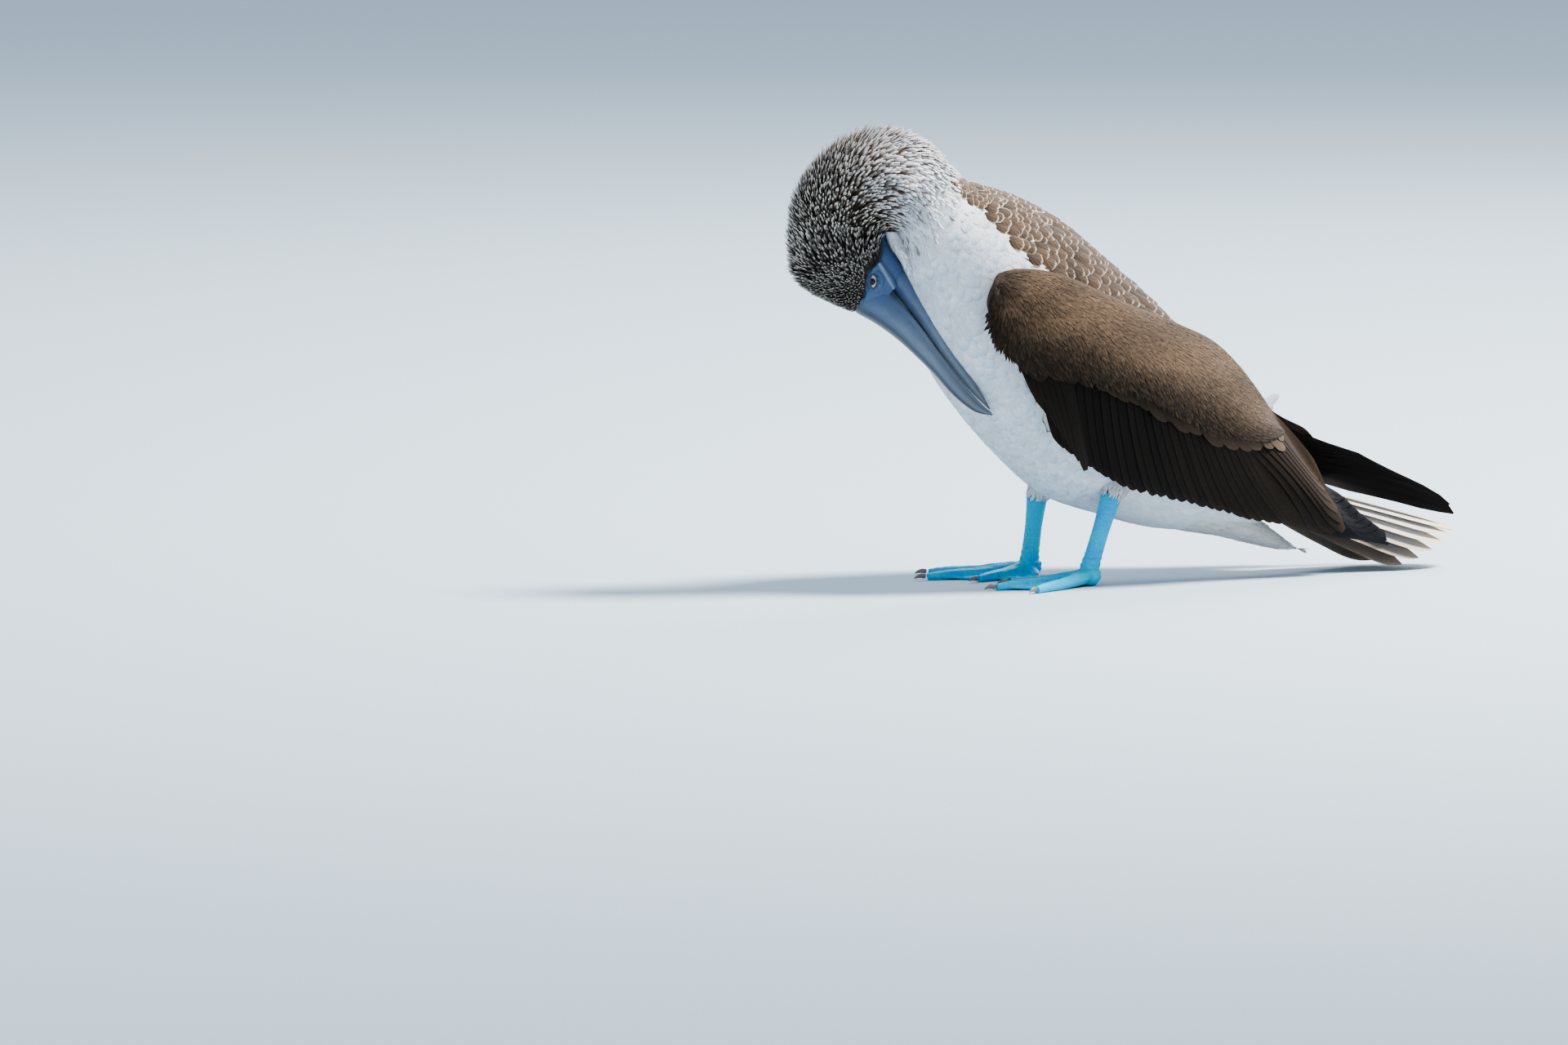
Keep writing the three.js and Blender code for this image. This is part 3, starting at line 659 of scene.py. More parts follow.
def tube_object(name, loft, sides, steps, shape=None, t_range=(0.0, 1.0)):
    """A grid rolled up round a loft, with closed ends and a UV map of how far along and round it lies."""
    grid = bpy.ops.mesh.primitive_grid_add
    obj = new_primitive(name, grid, x_subdivisions=sides, y_subdivisions=steps, size=1)
    flat = vertex_array(obj)
    share, turn = flat[:, 1] + 0.5, (flat[:, 0] + 0.5) * 2 * math.pi
    t = lerp(t_range[0], t_range[1], share)
    points = loft(t, turn)
    if shape is not None:
        points = shape(points, t, turn)
    move_vertices(obj, to_model(points))
    for layer in list(obj.data.uv_layers):
        obj.data.uv_layers.remove(layer)
    set_uv(obj, "lie", np.stack([share, turn / (2 * math.pi)], axis=-1))
    with editing(obj):
        bpy.ops.mesh.remove_doubles(threshold=1e-6)
        bpy.ops.mesh.select_all(action="DESELECT")
        bpy.ops.mesh.select_non_manifold()
        bpy.ops.mesh.edge_face_add()
        bpy.ops.mesh.select_all(action="SELECT")
        bpy.ops.mesh.normals_make_consistent(inside=False)
    return obj


# Feathers: a small closed form, laid many times on a surface


class Blank:
    """The form that feathers of a kind are made from.

    Each corner has a place along (0 to 1), a place across (-1 to 1) and a face (1 up, -1 down, 0 on the rim).
    """

    def __init__(self, rows, columns, outline):
        across = np.linspace(-1, 1, columns + 1)
        along = 1 - (1 - np.linspace(0, 1, rows + 1)) ** 1.3
        grid = [(r, c) for r in range(rows + 1) for c in range(columns + 1)]
        rim = {(r, c) for r, c in grid if r in (0, rows) or c in (0, columns)}
        upper, lower, corners = {}, {}, []
        for r, c in grid:
            upper[r, c] = lower[r, c] = len(corners)
            corners.append((along[r], across[c], 0 if (r, c) in rim else 1))
        for r, c in grid:
            if (r, c) not in rim:
                lower[r, c] = len(corners)
                corners.append((along[r], across[c], -1))
        faces = []
        for r in range(rows):
            for c in range(columns):
                square = [(r, c), (r, c + 1), (r + 1, c + 1), (r + 1, c)]
                faces.append([upper[s] for s in square][::-1])
                faces.append([lower[s] for s in square])
        self.along, self.across, self.face = np.array(corners).T
        self.faces = np.array(faces)
        self.wide = outline(self.along)
        self.shaft = np.exp(-((self.across / 0.12) ** 2))


class Spike:
    """A narrow three-sided feather with a short blunt tip."""

    def __init__(self):
        turns = np.arange(3) * 2 * math.pi / 3
        rings = [(0.0, 0.7), (0.45, 0.9), (0.86, 1.0), (1.0, 0.4)]  # how far along, and how wide
        corners = [(u, w * math.sin(a), w * math.cos(a)) for u, w in rings for a in turns]
        self.along, self.across, self.face = np.array(corners).T
        self.wide = np.ones(len(corners))
        faces = []
        for r in range(len(rings) - 1):
            for k in range(3):
                n = (k + 1) % 3
                faces.append([3 * r + k, 3 * r + n, 3 * r + 3 + n, 3 * r + 3 + k])
        last = 3 * (len(rings) - 1)
        faces.append([last, last + 1, last + 2, last])
        self.faces = np.array(faces)


# Outlines: the half width of a feather at each place along it

worn = profile([(0, 0.7), (0.3, 0.95), (0.6, 1), (0.82, 0.92), (0.92, 0.62), (1, 0.06)])
wispy = profile([(0, 0.5), (0.35, 0.95), (0.6, 1), (0.85, 0.55), (1, 0.1)])
blunt = profile([(0, 0.35), (0.2, 0.8), (0.55, 1), (0.8, 0.96), (0.92, 0.76), (1, 0.3)])
pointed = profile([(0, 0.4), (0.3, 0.95), (0.6, 1), (0.8, 0.8), (0.93, 0.45), (1, 0.05)])
broad = profile([(0, 0.45), (0.25, 0.8), (0.55, 1), (0.78, 0.97), (0.9, 0.8), (0.97, 0.52), (1, 0.25)])


def slopes(surface, p, q, nudge=1e-3):
    along_p = (surface(p + nudge, q) - surface(p - nudge, q)) / (2 * nudge)
    along_q = (surface(p, q + nudge) - surface(p, q - nudge)) / (2 * nudge)
    return along_p, along_q


def everywhere(p, q):
    return np.ones(len(p))


def scatter(rng, surface, p_range, q_range, pitch, weight, jitter=0.35, samples=160):
    """Staggered rows of places spread evenly over a surface, kept where weight(p, q) lets them."""
    rows_at = np.linspace(*p_range, samples)
    q_line = np.linspace(*q_range, 97)
    grid_p, grid_q = np.meshgrid(rows_at, q_line, indexing="ij")
    along_p, along_q = slopes(surface, grid_p, grid_q)
    across = np.linalg.norm(along_q, axis=-1)
    speed = np.linalg.norm(np.cross(along_p, along_q), axis=-1) / np.maximum(across, 1e-6)
    top = speed.max(axis=1)
    run = np.concatenate([[0], np.cumsum((top[1:] + top[:-1]) / 2 * np.diff(rows_at))])
    found = []
    for k, reach in enumerate(np.arange(pitch[0] / 2, run[-1], pitch[0])):
        p = np.interp(reach, run, rows_at)
        row = int(np.clip(np.searchsorted(rows_at, p), 0, samples - 1))
        ring = np.concatenate([[0], np.cumsum((across[row, 1:] + across[row, :-1]) / 2 * np.diff(q_line))])
        places = np.arange((0.25 if k % 2 else 0.75) * pitch[1], ring[-1], pitch[1])
        places = places + rng.uniform(-jitter, jitter, len(places)) * pitch[1]
        q = np.interp(places, ring, q_line)
        share = np.interp(q, q_line, speed[row]) / top[row]
        ps = np.full(len(q), p) + rng.uniform(-jitter, jitter, len(q)) * pitch[0] / top[row]
        keep = rng.uniform(0, 1, len(q)) < share * weight(ps, q)
        found.append(np.stack([ps[keep], q[keep]], axis=-1))
    return np.concatenate(found)


def lay(
    surface, centre, blank, p, q, length, width, heading, lift,
    depth=1.0, thick=0.25, camber=0.12, hug=True, reach=0.5,
):  # fmt: skip
    """The corners of feathers that lie on a surface towards falling p, turned by heading.

    lift is how far the tip stands off, and depth how far the root is sunk. Returns (feather, corner, 3).
    """
    along_p, along_q = slopes(surface, p, q)
    run = -unit(along_p)
    outward = np.cross(along_p, along_q)
    here = surface(p, q)
    inside = centre(p, q)
    outward *= np.sign(np.sum(outward * (here - inside), axis=-1, keepdims=True))
    outward = unit(outward)
    side = np.cross(outward, run)
    turn = heading[:, None]
    forward = run * np.cos(turn) + side * np.sin(turn)
    across = side * np.cos(turn) - run * np.sin(turn)
    x = blank.along[None, :] * length[:, None]
    y = blank.across[None, :] * blank.wide[None, :] * width[:, None] / 2
    z = (
        -depth
        + (lift[:, None] + depth) * blank.along[None, :] ** 0.8
        - camber * (blank.across[None, :] ** 2) * width[:, None] / 2
        + blank.face[None, :] * thick * (1 - 0.6 * blank.along[None, :])
    )
    shift = forward[:, None] * x[..., None] + across[:, None] * y[..., None]
    if not hug:
        return here[:, None] + shift + outward[:, None] * z[..., None]
    e = np.sum(along_p * along_p, axis=-1)[:, None]
    f = np.sum(along_p * along_q, axis=-1)[:, None]
    g = np.sum(along_q * along_q, axis=-1)[:, None]
    on_p = np.sum(shift * along_p[:, None], axis=-1)
    on_q = np.sum(shift * along_q[:, None], axis=-1)
    flat = np.maximum(e * g - f * f, 1e-6)
    p2 = p[:, None] + np.clip((g * on_p - f * on_q) / flat, -reach, reach)
    q2 = q[:, None] + np.clip((e * on_q - f * on_p) / flat, -0.6, 0.6)
    there = surface(p2, q2)
    slope_p, slope_q = slopes(surface, p2, q2)
    rise = np.cross(slope_p, slope_q)
    rise = unit(rise * np.sign(np.sum(rise * outward[:, None], axis=-1, keepdims=True)))
    return there + rise * z[..., None]


UNWRAP_EDGE = 0.01  # kept free round the unwrap
PATCH = 0.003  # the size of one feather on it


def round_place(p, q):
    """Places on the unwrap for feathers at p along a form and at the angle q round it."""
    return np.stack([p, q / (2 * math.pi)], -1)


def crisp_rims(obj, on_rim):
    """Marks the edges round each feather sharp, so its face is shaded like the surface it lies on."""
    ends = np.zeros(len(obj.data.edges) * 2, np.int32)
    obj.data.edges.foreach_get("vertices", ends)
    sharp = on_rim[ends.reshape(-1, 2)].all(axis=1)
    obj.data.attributes.new("sharp_edge", "BOOLEAN", "EDGE").data.foreach_set("value", sharp)


def feather_object(name, blank, corners, roots, base, tip):
    """Joins feathers into one mesh with their UV maps and colours. roots are their places on the unwrap."""
    count, per = corners.shape[:2]
    faces = (blank.faces[None] + (np.arange(count) * per)[:, None, None]).reshape(-1, blank.faces.shape[1])
    obj = mesh_object(name, corners.reshape(-1, 3), faces)
    crisp_rims(obj, np.tile(blank.face == 0, count))
    local = np.stack([blank.along, (blank.across * blank.wide / blank.wide.max() + 1) / 2], axis=-1)
    bake = UNWRAP_EDGE + (1 - 2 * UNWRAP_EDGE) * roots[:, None] + (local[None] - 0.5) * PATCH
    set_uv(obj, "OFBake", bake.reshape(-1, 2))
    vane = np.stack([blank.along, (blank.across + 1) / 2], axis=-1)
    set_uv(obj, "vane", np.broadcast_to(vane[None], (count, per, 2)).reshape(-1, 2))
    set_colour(obj, "base", np.repeat(base, per, axis=0))
    set_colour(obj, "tip", np.repeat(tip, per, axis=0))
    obj.data.uv_layers.active = obj.data.uv_layers["OFBake"]
    return obj


def plain(colour, count):
    return np.tile(array(colour), (count, 1))


def vary(rng, colours, low, high):
    """Colours made lighter or darker, each feather by its own factor between low and high."""
    return colours * rng.uniform(low, high, (len(colours), 1))


def blend_colours(share, *colours):
    """Colours mixed by shares between 0 and 1, the first where every share is 0."""
    result = np.broadcast_to(array(colours[0]), (len(share[0]), 3)).copy()
    for part, colour in zip(share, colours[1:]):
        result = lerp(result, array(colour), part[:, None])
    return result


# Markings, and colours of painted shade and sheen.
# station counts the flesh's stations from the tail root, angle turns from the back to the side

WHITE = (0.80, 0.80, 0.82)
# SHADE_WHITE is painted shade: white plumage greyed and blued as if in shadow
SHADE_WHITE = (0.50, 0.56, 0.62)
MANTLE_BROWN = (0.080, 0.049, 0.029)
MANTLE_PALE = (0.56, 0.46, 0.37)
HEAD_DARK = (0.034, 0.022, 0.015)
HEAD_WARM = (0.23, 0.15, 0.097)
SPIKE_TIP = (0.84, 0.76, 0.67)
WING_BROWN = (0.0185, 0.0115, 0.0068)
WING_LIGHT = (0.102, 0.065, 0.038)
WING_DARK = (0.0064, 0.0040, 0.0030)
PRIMARY_BLACK = (0.0030, 0.0022, 0.0022)
# Painted sheen: the near wing's primaries, the same black as the far wing's, lightened to slate as if their gloss
# caught the sky
SHEEN_SLATE = (0.0125, 0.0118, 0.0128)
TAIL_BROWN, TAIL_CREAM = (0.12, 0.09, 0.07), (0.60, 0.56, 0.53)
TAIL_TIP_BROWN, TAIL_TIP_BUFF = (0.27, 0.20, 0.15), (0.70, 0.56, 0.33)
BREAST_SHADE_BLUE = (0.44, 0.52, 0.61)
STREAK_BROWN = (0.26, 0.22, 0.2)
THROAT_GREY = (0.42, 0.40, 0.40)
NECK_WARM = (0.33, 0.25, 0.19)
CREAM = (0.52, 0.50, 0.48)
PALE_CREAM = (0.64, 0.62, 0.60)
GAPE_PALE = (0.26, 0.33, 0.44)
FACE_BLUE = (0.058, 0.102, 0.195)

mantle_edge = profile([
    (0, 1.15), (2, 1.25), (4, 1.28), (5.5, 1.2), (6.4, 1.14), (7.5, 1.1), (8.6, 0.94), (9.5, 0.84),
    (10.3, 0.72),
])  # fmt: skip
face_line = profile([
    (-34, -24), (-26, -20), (-15, -10), (-10, -7.4), (-2, -6.6), (6, -0.4), (13, 5), (20, 9.5),
])  # fmt: skip


def fold(angle):
    """The angle from the back, alike on both sides."""
    return np.abs((np.asarray(angle) + math.pi) % (2 * math.pi) - math.pi)


def mantle_share(station, angle):
    """1 on the brown back, 0 on the white breast and rump."""
    side = ramp(mantle_edge(station) - fold(angle), -0.09, 0.09)
    return side * ramp(station, 0.8, 2.2) * ramp(station, 10.4, 9.9)


def face_share(points):
    """1 on the bare skin round the bill, 0 where feathers grow."""
    forward, up, _ = head_measures(points)
    return ramp(forward - face_line(up), -0.8, 0.8)


WING_RUN = (6, 318)  # where along a folded wing it covers the body
WING_DEPTH = 60  # how deep under its sheet the body counts as covered


def under_wing(points, margin=5.0, flank=18.0):
    """True where a folded wing lies over the body, further out than flank from its middle."""
    hidden = np.zeros(points.shape[:-1], bool)
    for wing in WINGS.values():
        a, c, h = wing.measures(points)
        near = -wing.side * points[..., 1] > flank
        along = (a > WING_RUN[0]) & (a < WING_RUN[1])
        across = (c > wing_top(a) + margin) & (c < wing_bottom(a) - margin)
        hidden |= near & along & across & (h > -WING_DEPTH)
    return hidden


# Properties


def colour_property(name, description, default):
    return bpy.props.FloatVectorProperty(
        name=name, description=description, default=default, subtype="COLOR", size=3, min=0, max=1
    )


def length_property(name, description, default):
    return bpy.props.FloatProperty(
        name=name, description=description, default=default, min=0.0001, subtype="DISTANCE", unit="LENGTH"
    )


class BoobyPlumage(bpy.types.PropertyGroup):
    """Sizes and colours of the feathers."""

    white: colour_property("White", "Breast and belly", WHITE)
    mantle: colour_property("Mantle", "Feathers of the back", MANTLE_BROWN)
    mantle_tip: colour_property("Mantle tips", "Pale fringes of the back's feathers", MANTLE_PALE)
    head: colour_property("Head", "Bases of the head's spiky feathers", HEAD_DARK)
    spike_tip: colour_property("Spike tips", "Pale tips of the head's feathers", SPIKE_TIP)
    wing: colour_property("Wing", "Small coverts of the wing", WING_BROWN)
    flight: colour_property("Flight feathers", "Secondaries and primaries", WING_DARK)
    spike_length: length_property("Spike length", "Length of the head's feathers", 0.0062)
    spike_width: length_property("Spike width", "Width of the head's feathers", 0.0013)
    breast_length: length_property("Breast feather", "Length of the breast's feathers", 0.013)
    coat_depth: length_property("Coat depth", "How far the skin lies inside the feathers' surface", 0.0016)


class BoobyBare(bpy.types.PropertyGroup):
    """Colours of the bill, face and feet."""

    face: colour_property("Face", "Bare skin round the eyes and chin", FACE_BLUE)
    bill: colour_property("Bill", "Sides of the bill", (0.122, 0.158, 0.212))
    culmen: colour_property("Culmen", "Dark ridge of the bill", (0.035, 0.042, 0.06))
    iris: colour_property("Iris", "Pale yellow of the eye", (0.45, 0.44, 0.33))
    foot: colour_property("Foot", "Turquoise of the webs and legs", (0.003, 0.35, 0.72))
    claw: colour_property("Claw", "Claws", (0.12, 0.11, 0.105))


class BoobyStage(bpy.types.PropertyGroup):
    """Floor, light and camera."""

    floor: colour_property("Floor", "Pale floor", (0.46, 0.55, 0.62))
    azimuth: bpy.props.FloatProperty(
        name="Azimuth", description="Camera's turn round the bird", default=math.radians(-25), subtype="ANGLE"
    )
    elevation: bpy.props.FloatProperty(
        name="Elevation", description="Camera's height", default=math.radians(5), subtype="ANGLE"
    )
    distance: length_property("Distance", "Camera to bird", 25.0)


def plumage():
    return bpy.context.scene.booby_plumage


def bare():
    return bpy.context.scene.booby_bare


def tint(name):
    """A colour of the property groups, as an array."""
    group = plumage() if name in plumage().bl_rna.properties else bare()
    return array(getattr(group, name))


# Sizes in metres: the grain of the remeshed skins and the height of the feet's ridges

SKIN_VOXEL = 0.0017
FOOT_VOXEL = 0.00062
SCUTE_HEIGHT = 0.00012
BODY_SINK, HEAD_SINK = 0.45, 1.15  # shares of the coat's depth by which the skin is sunk

# Operators


class BOOBY_OT_skin(bpy.types.Operator):
    """One skin in place of the trunk, neck, head and thighs"""

    bl_idname = "booby.skin"
    bl_label = "Skin"

    def execute(self, context):
        settings = plumage()
        nodes = ("torso", "neck", "head", "thigh_left", "thigh_right")
        skin = clean_copy("body_skin", *nodes)
        apply(skin, "REMESH", mode="VOXEL", voxel_size=SKIN_VOXEL, use_smooth_shade=True)
        apply(skin, "SMOOTH", factor=0.5, iterations=6)
        points = to_bird(vertex_array(skin))
        station, angle = self.nearest(points)
        head = ramp(station, 10.4, 13.5)
        depth = settings.coat_depth * lerp(BODY_SINK, HEAD_SINK, ramp(station, 9.0, 11.0))
        normals = read_vectors(skin.data.vertex_normals, "vector")
        move_vertices(skin, vertex_array(skin) - normals * depth[:, None])
        colour = blend_colours(
            [mantle_share(station, angle), head, face_share(points) * (station > 15)],
            tint("white"), tint("mantle"), lerp(tint("head"), array(HEAD_WARM), 0.1), tint("face"),
        )  # fmt: skip
        set_colour(skin, "marking", colour)
        paint = Paint("body skin", roughness=0.8, specular=0.2)
        grain = paint.noise(700, 3)
        paint.set("Base Color", paint.shade(paint.attribute("marking"), 0.6 + grain * 0.5))
        paint.bump(grain, 0.0006, 0.5)
        finish_piece(skin, paint.material, "body_feathers", *nodes)
        return {"FINISHED"}

    def nearest(self, points):
        """The station and angle of the place on the flesh that lies nearest to each point."""
        turns = np.linspace(0, 2 * math.pi, 48, False)
        ts, angles = np.array([(t, angle) for t in np.linspace(0, 1, 120) for angle in turns]).T
        tree = kdtree.KDTree(len(ts))
        for k, spot in enumerate(FLESH(ts, angles)):
            tree.insert(spot, k)
        tree.balance()
        found = np.array([tree.find(p)[1] for p in points])
        return ts[found] * STATIONS, angles[found]


class BOOBY_OT_body_feathers(bpy.types.Operator):
    """Breast, belly, flanks, back, rump and feathered thighs"""

    bl_idname = "booby.body_feathers"
    bl_label = "Body feathers"

    def execute(self, context):
        self.white_coat()
        self.breast_scales()
        self.crease()
        self.mantle()
        self.rump()
        self.undertail()
        self.thighs()
        return {"FINISHED"}

    def white_coat(self):
        """Soft white feathers, laid over the curve of the body and straight in the bend of the throat."""
        rng = draws("white coat")
        settings = plumage()
        blank = Blank(2, 2, wispy)
        white = tint("white")
        paint = feather_paint(
            "white feather", 0.9, (0.2, 0.7), relief=0.1, barbs=12, sheen=0.1, soft=0.4, barb_light=0.02
        )
        for name, low, high, pitch, hug in (
            ("belly_feathers", 0.2, 5.6, (2.7, 2.3), True),
            ("breast_feathers", 5.6, 8.9, (2.4, 2.1), True),
            ("throat_feathers", 8.7, 11.4, (1.8, 1.8), False),
        ):

            def weight(p, q):
                station = p * STATIONS
                open_ = ~under_wing(FLESH(p, q))
                return open_ * (1 - 0.95 * mantle_share(station, q)) * ramp(station, 11.4, 10.3)

            found = scatter(rng, FLESH, (low / STATIONS, high / STATIONS), (0, 2 * math.pi), pitch, weight)
            p, q = found.T
            count = len(p)
            station = p * STATIONS
            below = ramp(fold(q), 1.6, 2.6)
            scale = lerp(0.5, 1.0, ramp(station, 10.6, 7.5)) * rng.uniform(0.8, 1.25, count)
            length = settings.breast_length * 1000 * scale
            width = length * rng.uniform(0.22, 0.36, count)
            drift = 0.22 * np.sin(p * 60 + np.sin(q * 5) * 1.5) + rng.normal(0, 0.1, count)
            corners = lay(
                FLESH, FLESH.middle, blank, p, q, length, width, drift,
                rng.uniform(0.0, 0.25, count), depth=0.45, thick=0.07, camber=0.03, hug=hug, reach=0.06,
            )  # fmt: skip
            tone = rng.uniform(0.92, 1.03, (count, 1))
            # Painted shade: feathers on the underside are greyed and blued towards SHADE_WHITE, and each feather by a
            # random share as well
            shade_and_grey = 0.5 * below + rng.uniform(0.0, 0.35, count)
            base = blend_colours([shade_and_grey], white, SHADE_WHITE) * tone
            streak = ramp(station, 8.9, 10.8) * rng.uniform(0, 1, count)
            base = lerp(base, array(STREAK_BROWN), (0.5 * streak)[:, None])
            tip = np.clip(blend_colours([0.6 * shade_and_grey], white, SHADE_WHITE) * tone, 0, 0.92)
            obj = feather_object(name, blank, corners, round_place(p, q), base, tip)
            finish_piece(obj, paint, "body_feathers")

    def breast_scales(self):
        """Broad feathers with faint painted blue-grey shade at their tips and edges, spread over the white coat."""
        rng = draws("breast scales")
        blank = Blank(4, 4, broad)

        def weight(p, q):
            station = p * STATIONS
            return ~under_wing(FLESH(p, q)) * (mantle_share(station, q) < 0.1) * ramp(station, 9.6, 9.0)

        found = scatter(rng, FLESH, (4.6 / STATIONS, 9.6 / STATIONS), (0, 2 * math.pi), (5.2, 6.0), weight)
        p, q = found.T
        count = len(p)
        scale = lerp(0.7, 1.0, ramp(p * STATIONS, 9.4, 7.5)) * rng.uniform(0.85, 1.15, count)
        corners = lay(
            FLESH, FLESH.middle, blank, p, q, 12 * scale, 8.5 * scale, rng.normal(0, 0.16, count),
            rng.uniform(0.1, 0.4, count), depth=0.4, thick=0.06, camber=0.04, reach=0.06,
        )  # fmt: skip
        base = vary(rng, plain(tint("white"), count), 0.95, 1.05)
        # Painted shade: each scale's tip and edges turn blue-grey, like the soft shadow at an overlapping feather's
        # edge
        tip = blend_colours([rng.uniform(0.25, 0.95, count)], tint("white"), BREAST_SHADE_BLUE)
        obj = feather_object("breast_scales", blank, corners, round_place(p, q), base, tip)
        paint = feather_paint(
            "breast scale", 0.9, (0.35, 1.05), edge=0.5, relief=0.15, barbs=18, soft=0.4, barb_light=0.02
        )
        finish_piece(obj, paint, "body_feathers")

    def crease(self):
        """Soft white feathers that fill the fold between the chin and the throat."""
        rng = draws("crease")
        upward = np.cross(OUTWARD, BACK)
        upward = upward * np.sign(upward @ UP)
        stations = []
        rows = ((12.0, -25, 2.5, 14), (7.8, -15, 4.4, 21), (3.0, -5, 6.0, 24), (-0.6, 3, 5.4, 20))
        for along, drop, deep, wide in rows:
            spot = NECK_PIVOT + along * BACK + drop * upward
            stations.append((spot - deep * BACK, spot + deep * BACK, OUTWARD, wide))
        loft = Loft(stations)
        down = tube_object("crease_down", loft, 48, 24)
        paint = Paint("down", roughness=0.9, specular=0.1)
        grain = paint.noise(500, 3)
        paint.set("Base Color", paint.shade(tint("white"), 0.75 + grain * 0.4))
        paint.bump(grain, 0.0006, 0.5)
        finish_piece(down, paint.material, "body_feathers")
        found = scatter(rng, loft, (0.02, 0.98), (0, 2 * math.pi), (1.6, 1.5), everywhere, samples=40)
        p, q = found.T
        count = len(p)
        blank = Blank(2, 2, wispy)
        corners = lay(
            loft, loft.middle, blank, p, q, rng.uniform(4.5, 8, count), rng.uniform(1.3, 2.1, count),
            rng.normal(0, 0.24, count), rng.uniform(0.1, 0.5, count),
            depth=0.5, thick=0.1, camber=0.03, hug=False,
        )  # fmt: skip
        # Painted shade: the roots of the feathers in the fold are darkened towards SHADE_WHITE
        base = vary(rng, plain(SHADE_WHITE, count), 0.6, 1.0)
        tip = vary(rng, plain(tint("white"), count), 0.9, 1.0)
        obj = feather_object("crease_feathers", blank, corners, round_place(p, q), base, tip)
        paint = feather_paint("crease feather", 0.9, (0.2, 0.7), relief=0.15, barbs=12)
        finish_piece(obj, paint, "body_feathers")

    def mantle(self):
        """Brown scales with pale fringes, small at the neck and large over the shoulders."""
        rng = draws("mantle")
        blank = Blank(6, 6, broad)
        tracts = [
            (8.6, 10.5, (3.7, 5.0), 9.0, 7.4), (7.0, 8.6, (4.9, 6.6), 12.5, 10.0),
            (5.2, 7.0, (6.6, 9.0), 17.0, 13.5), (3.4, 5.2, (8.4, 11.5), 21.0, 17.0),
            (1.0, 3.4, (8.4, 10.5), 21.0, 14.0),
        ]  # fmt: skip
        parts = []

        def weight(p, q):
            return (mantle_share(p * STATIONS, q) > 0.4) & ~under_wing(FLESH(p, q), 2.0)

        for low, high, pitch, long, wide in tracts:
            found = scatter(
                rng, FLESH, (low / STATIONS, high / STATIONS), (-1.5, 1.5), pitch, weight, jitter=0.18
            )
            p, q = found.T
            count = len(p)
            grow = rng.uniform(0.88, 1.14, count)
            corners = lay(
                FLESH, FLESH.middle, blank, p, q, long * grow, wide * grow,
                rng.normal(0, 0.07, count) + 0.16 * np.sign(q), rng.uniform(0.9, 1.5, count),
                depth=0.8, thick=0.2, camber=0.16, reach=0.08,
            )  # fmt: skip
            rump, forward = ramp(p * STATIONS, 2.6, 1.2), ramp(p * STATIONS, 4.5, 8.5)
            tone = rng.uniform(0.7, 1.3, (count, 1))
            base = blend_colours([rump * 0.8], tint("mantle"), tint("white")) * tone
            base = base * lerp(0.7, 1.0, forward)[:, None]
            tip = vary(rng, blend_colours([rump], tint("mantle_tip"), tint("white")), 0.85, 1.1)
            tip = tip * lerp(0.72, 1.0, forward)[:, None]
            parts.append((p, q, corners, base, np.clip(tip, 0, 0.9)))
        p, q, corners, base, tip = (np.concatenate(column) for column in zip(*parts))
        roots = round_place(p, q % (2 * math.pi))
        obj = feather_object("mantle_feathers", blank, corners, roots, base, tip)
        paint = feather_paint(
            "mantle feather", 0.8, (0.89, 1.02), edge=0.7, shaft=0.35, relief=0.3, barb_light=0.025, root=0.45
        )
        finish_piece(obj, paint, "body_feathers")

    def rump(self):
        """A few long white feathers that stand up between the wings."""
        rows = (
            ((138, 4, 103), (162.4, 4, 119), 3.4), ((142, 6, 101), (160, 8, 110), 3.2),
            ((146, 3, 96), (160.5, 3, 100), 3.2), ((136, 1, 105), (156, -1, 112), 2.8),
        )  # fmt: skip
        blank = Blank(8, 4, blunt)
        corners = []
        for root, tip, half in rows:
            root, tip = array(root), array(tip)
            run = unit(tip - root)
            across = unit(np.cross(run, array(-0.42, -0.9, 0.1)))
            face = np.cross(across, run)
            u = blank.along
            bend = 3.0 * np.sin(math.pi * u)
            w = blank.across * blank.wide * half
            h = blank.face * 0.15 - 0.05 * w**2 - bend * 0.4
            corners.append(root + u[:, None] * (tip - root) + w[:, None] * across + h[:, None] * face)
        count = len(rows)
        roots = np.stack([np.full(count, 0.04), 0.4 + 0.02 * np.arange(count)], -1)
        white = plain(tint("white"), count)
        obj = feather_object("rump_feathers", blank, np.array(corners), roots, white * 0.9, white)
        paint = feather_paint("rump feather", 0.8, (0.3, 0.8), shaft=0.1, relief=0.2)
        finish_piece(obj, paint, "body_feathers")

    def undertail(self):
        """Long cream feathers under the root of the tail."""
        rng = draws("undertail")

        def reverse(p, q):
            return UNDERTAIL_LOFT(1 - p, q)

        def middle(p, q):
            return UNDERTAIL_LOFT.middle(1 - p)

        found = scatter(rng, reverse, (0.06, 0.98), (0.7, 2 * math.pi - 0.7), (3.6, 3.0), everywhere)
        p, q = found.T
        count = len(p)
        blank = Blank(5, 2, pointed)
        length = rng.uniform(16, 26, count) * lerp(0.7, 1.0, ramp(p, 0.05, 0.4))
        corners = lay(
            reverse, middle, blank, p, q, length, rng.uniform(3.6, 6, count), rng.normal(0, 0.09, count),
            rng.uniform(0.0, 0.5, count), depth=0.6, thick=0.08, camber=0.04,
        )  # fmt: skip
        tone = rng.uniform(0.86, 1.04, (count, 1))
        base, tip = plain(array(CREAM) * 0.92, count) * tone, plain(PALE_CREAM, count) * tone
        obj = feather_object("undertail_feathers", blank, corners, round_place(p, q), base, tip)
        finish_piece(obj, feather_paint("undertail feather", 0.8, (0.3, 0.8), relief=0.3), "body_feathers")

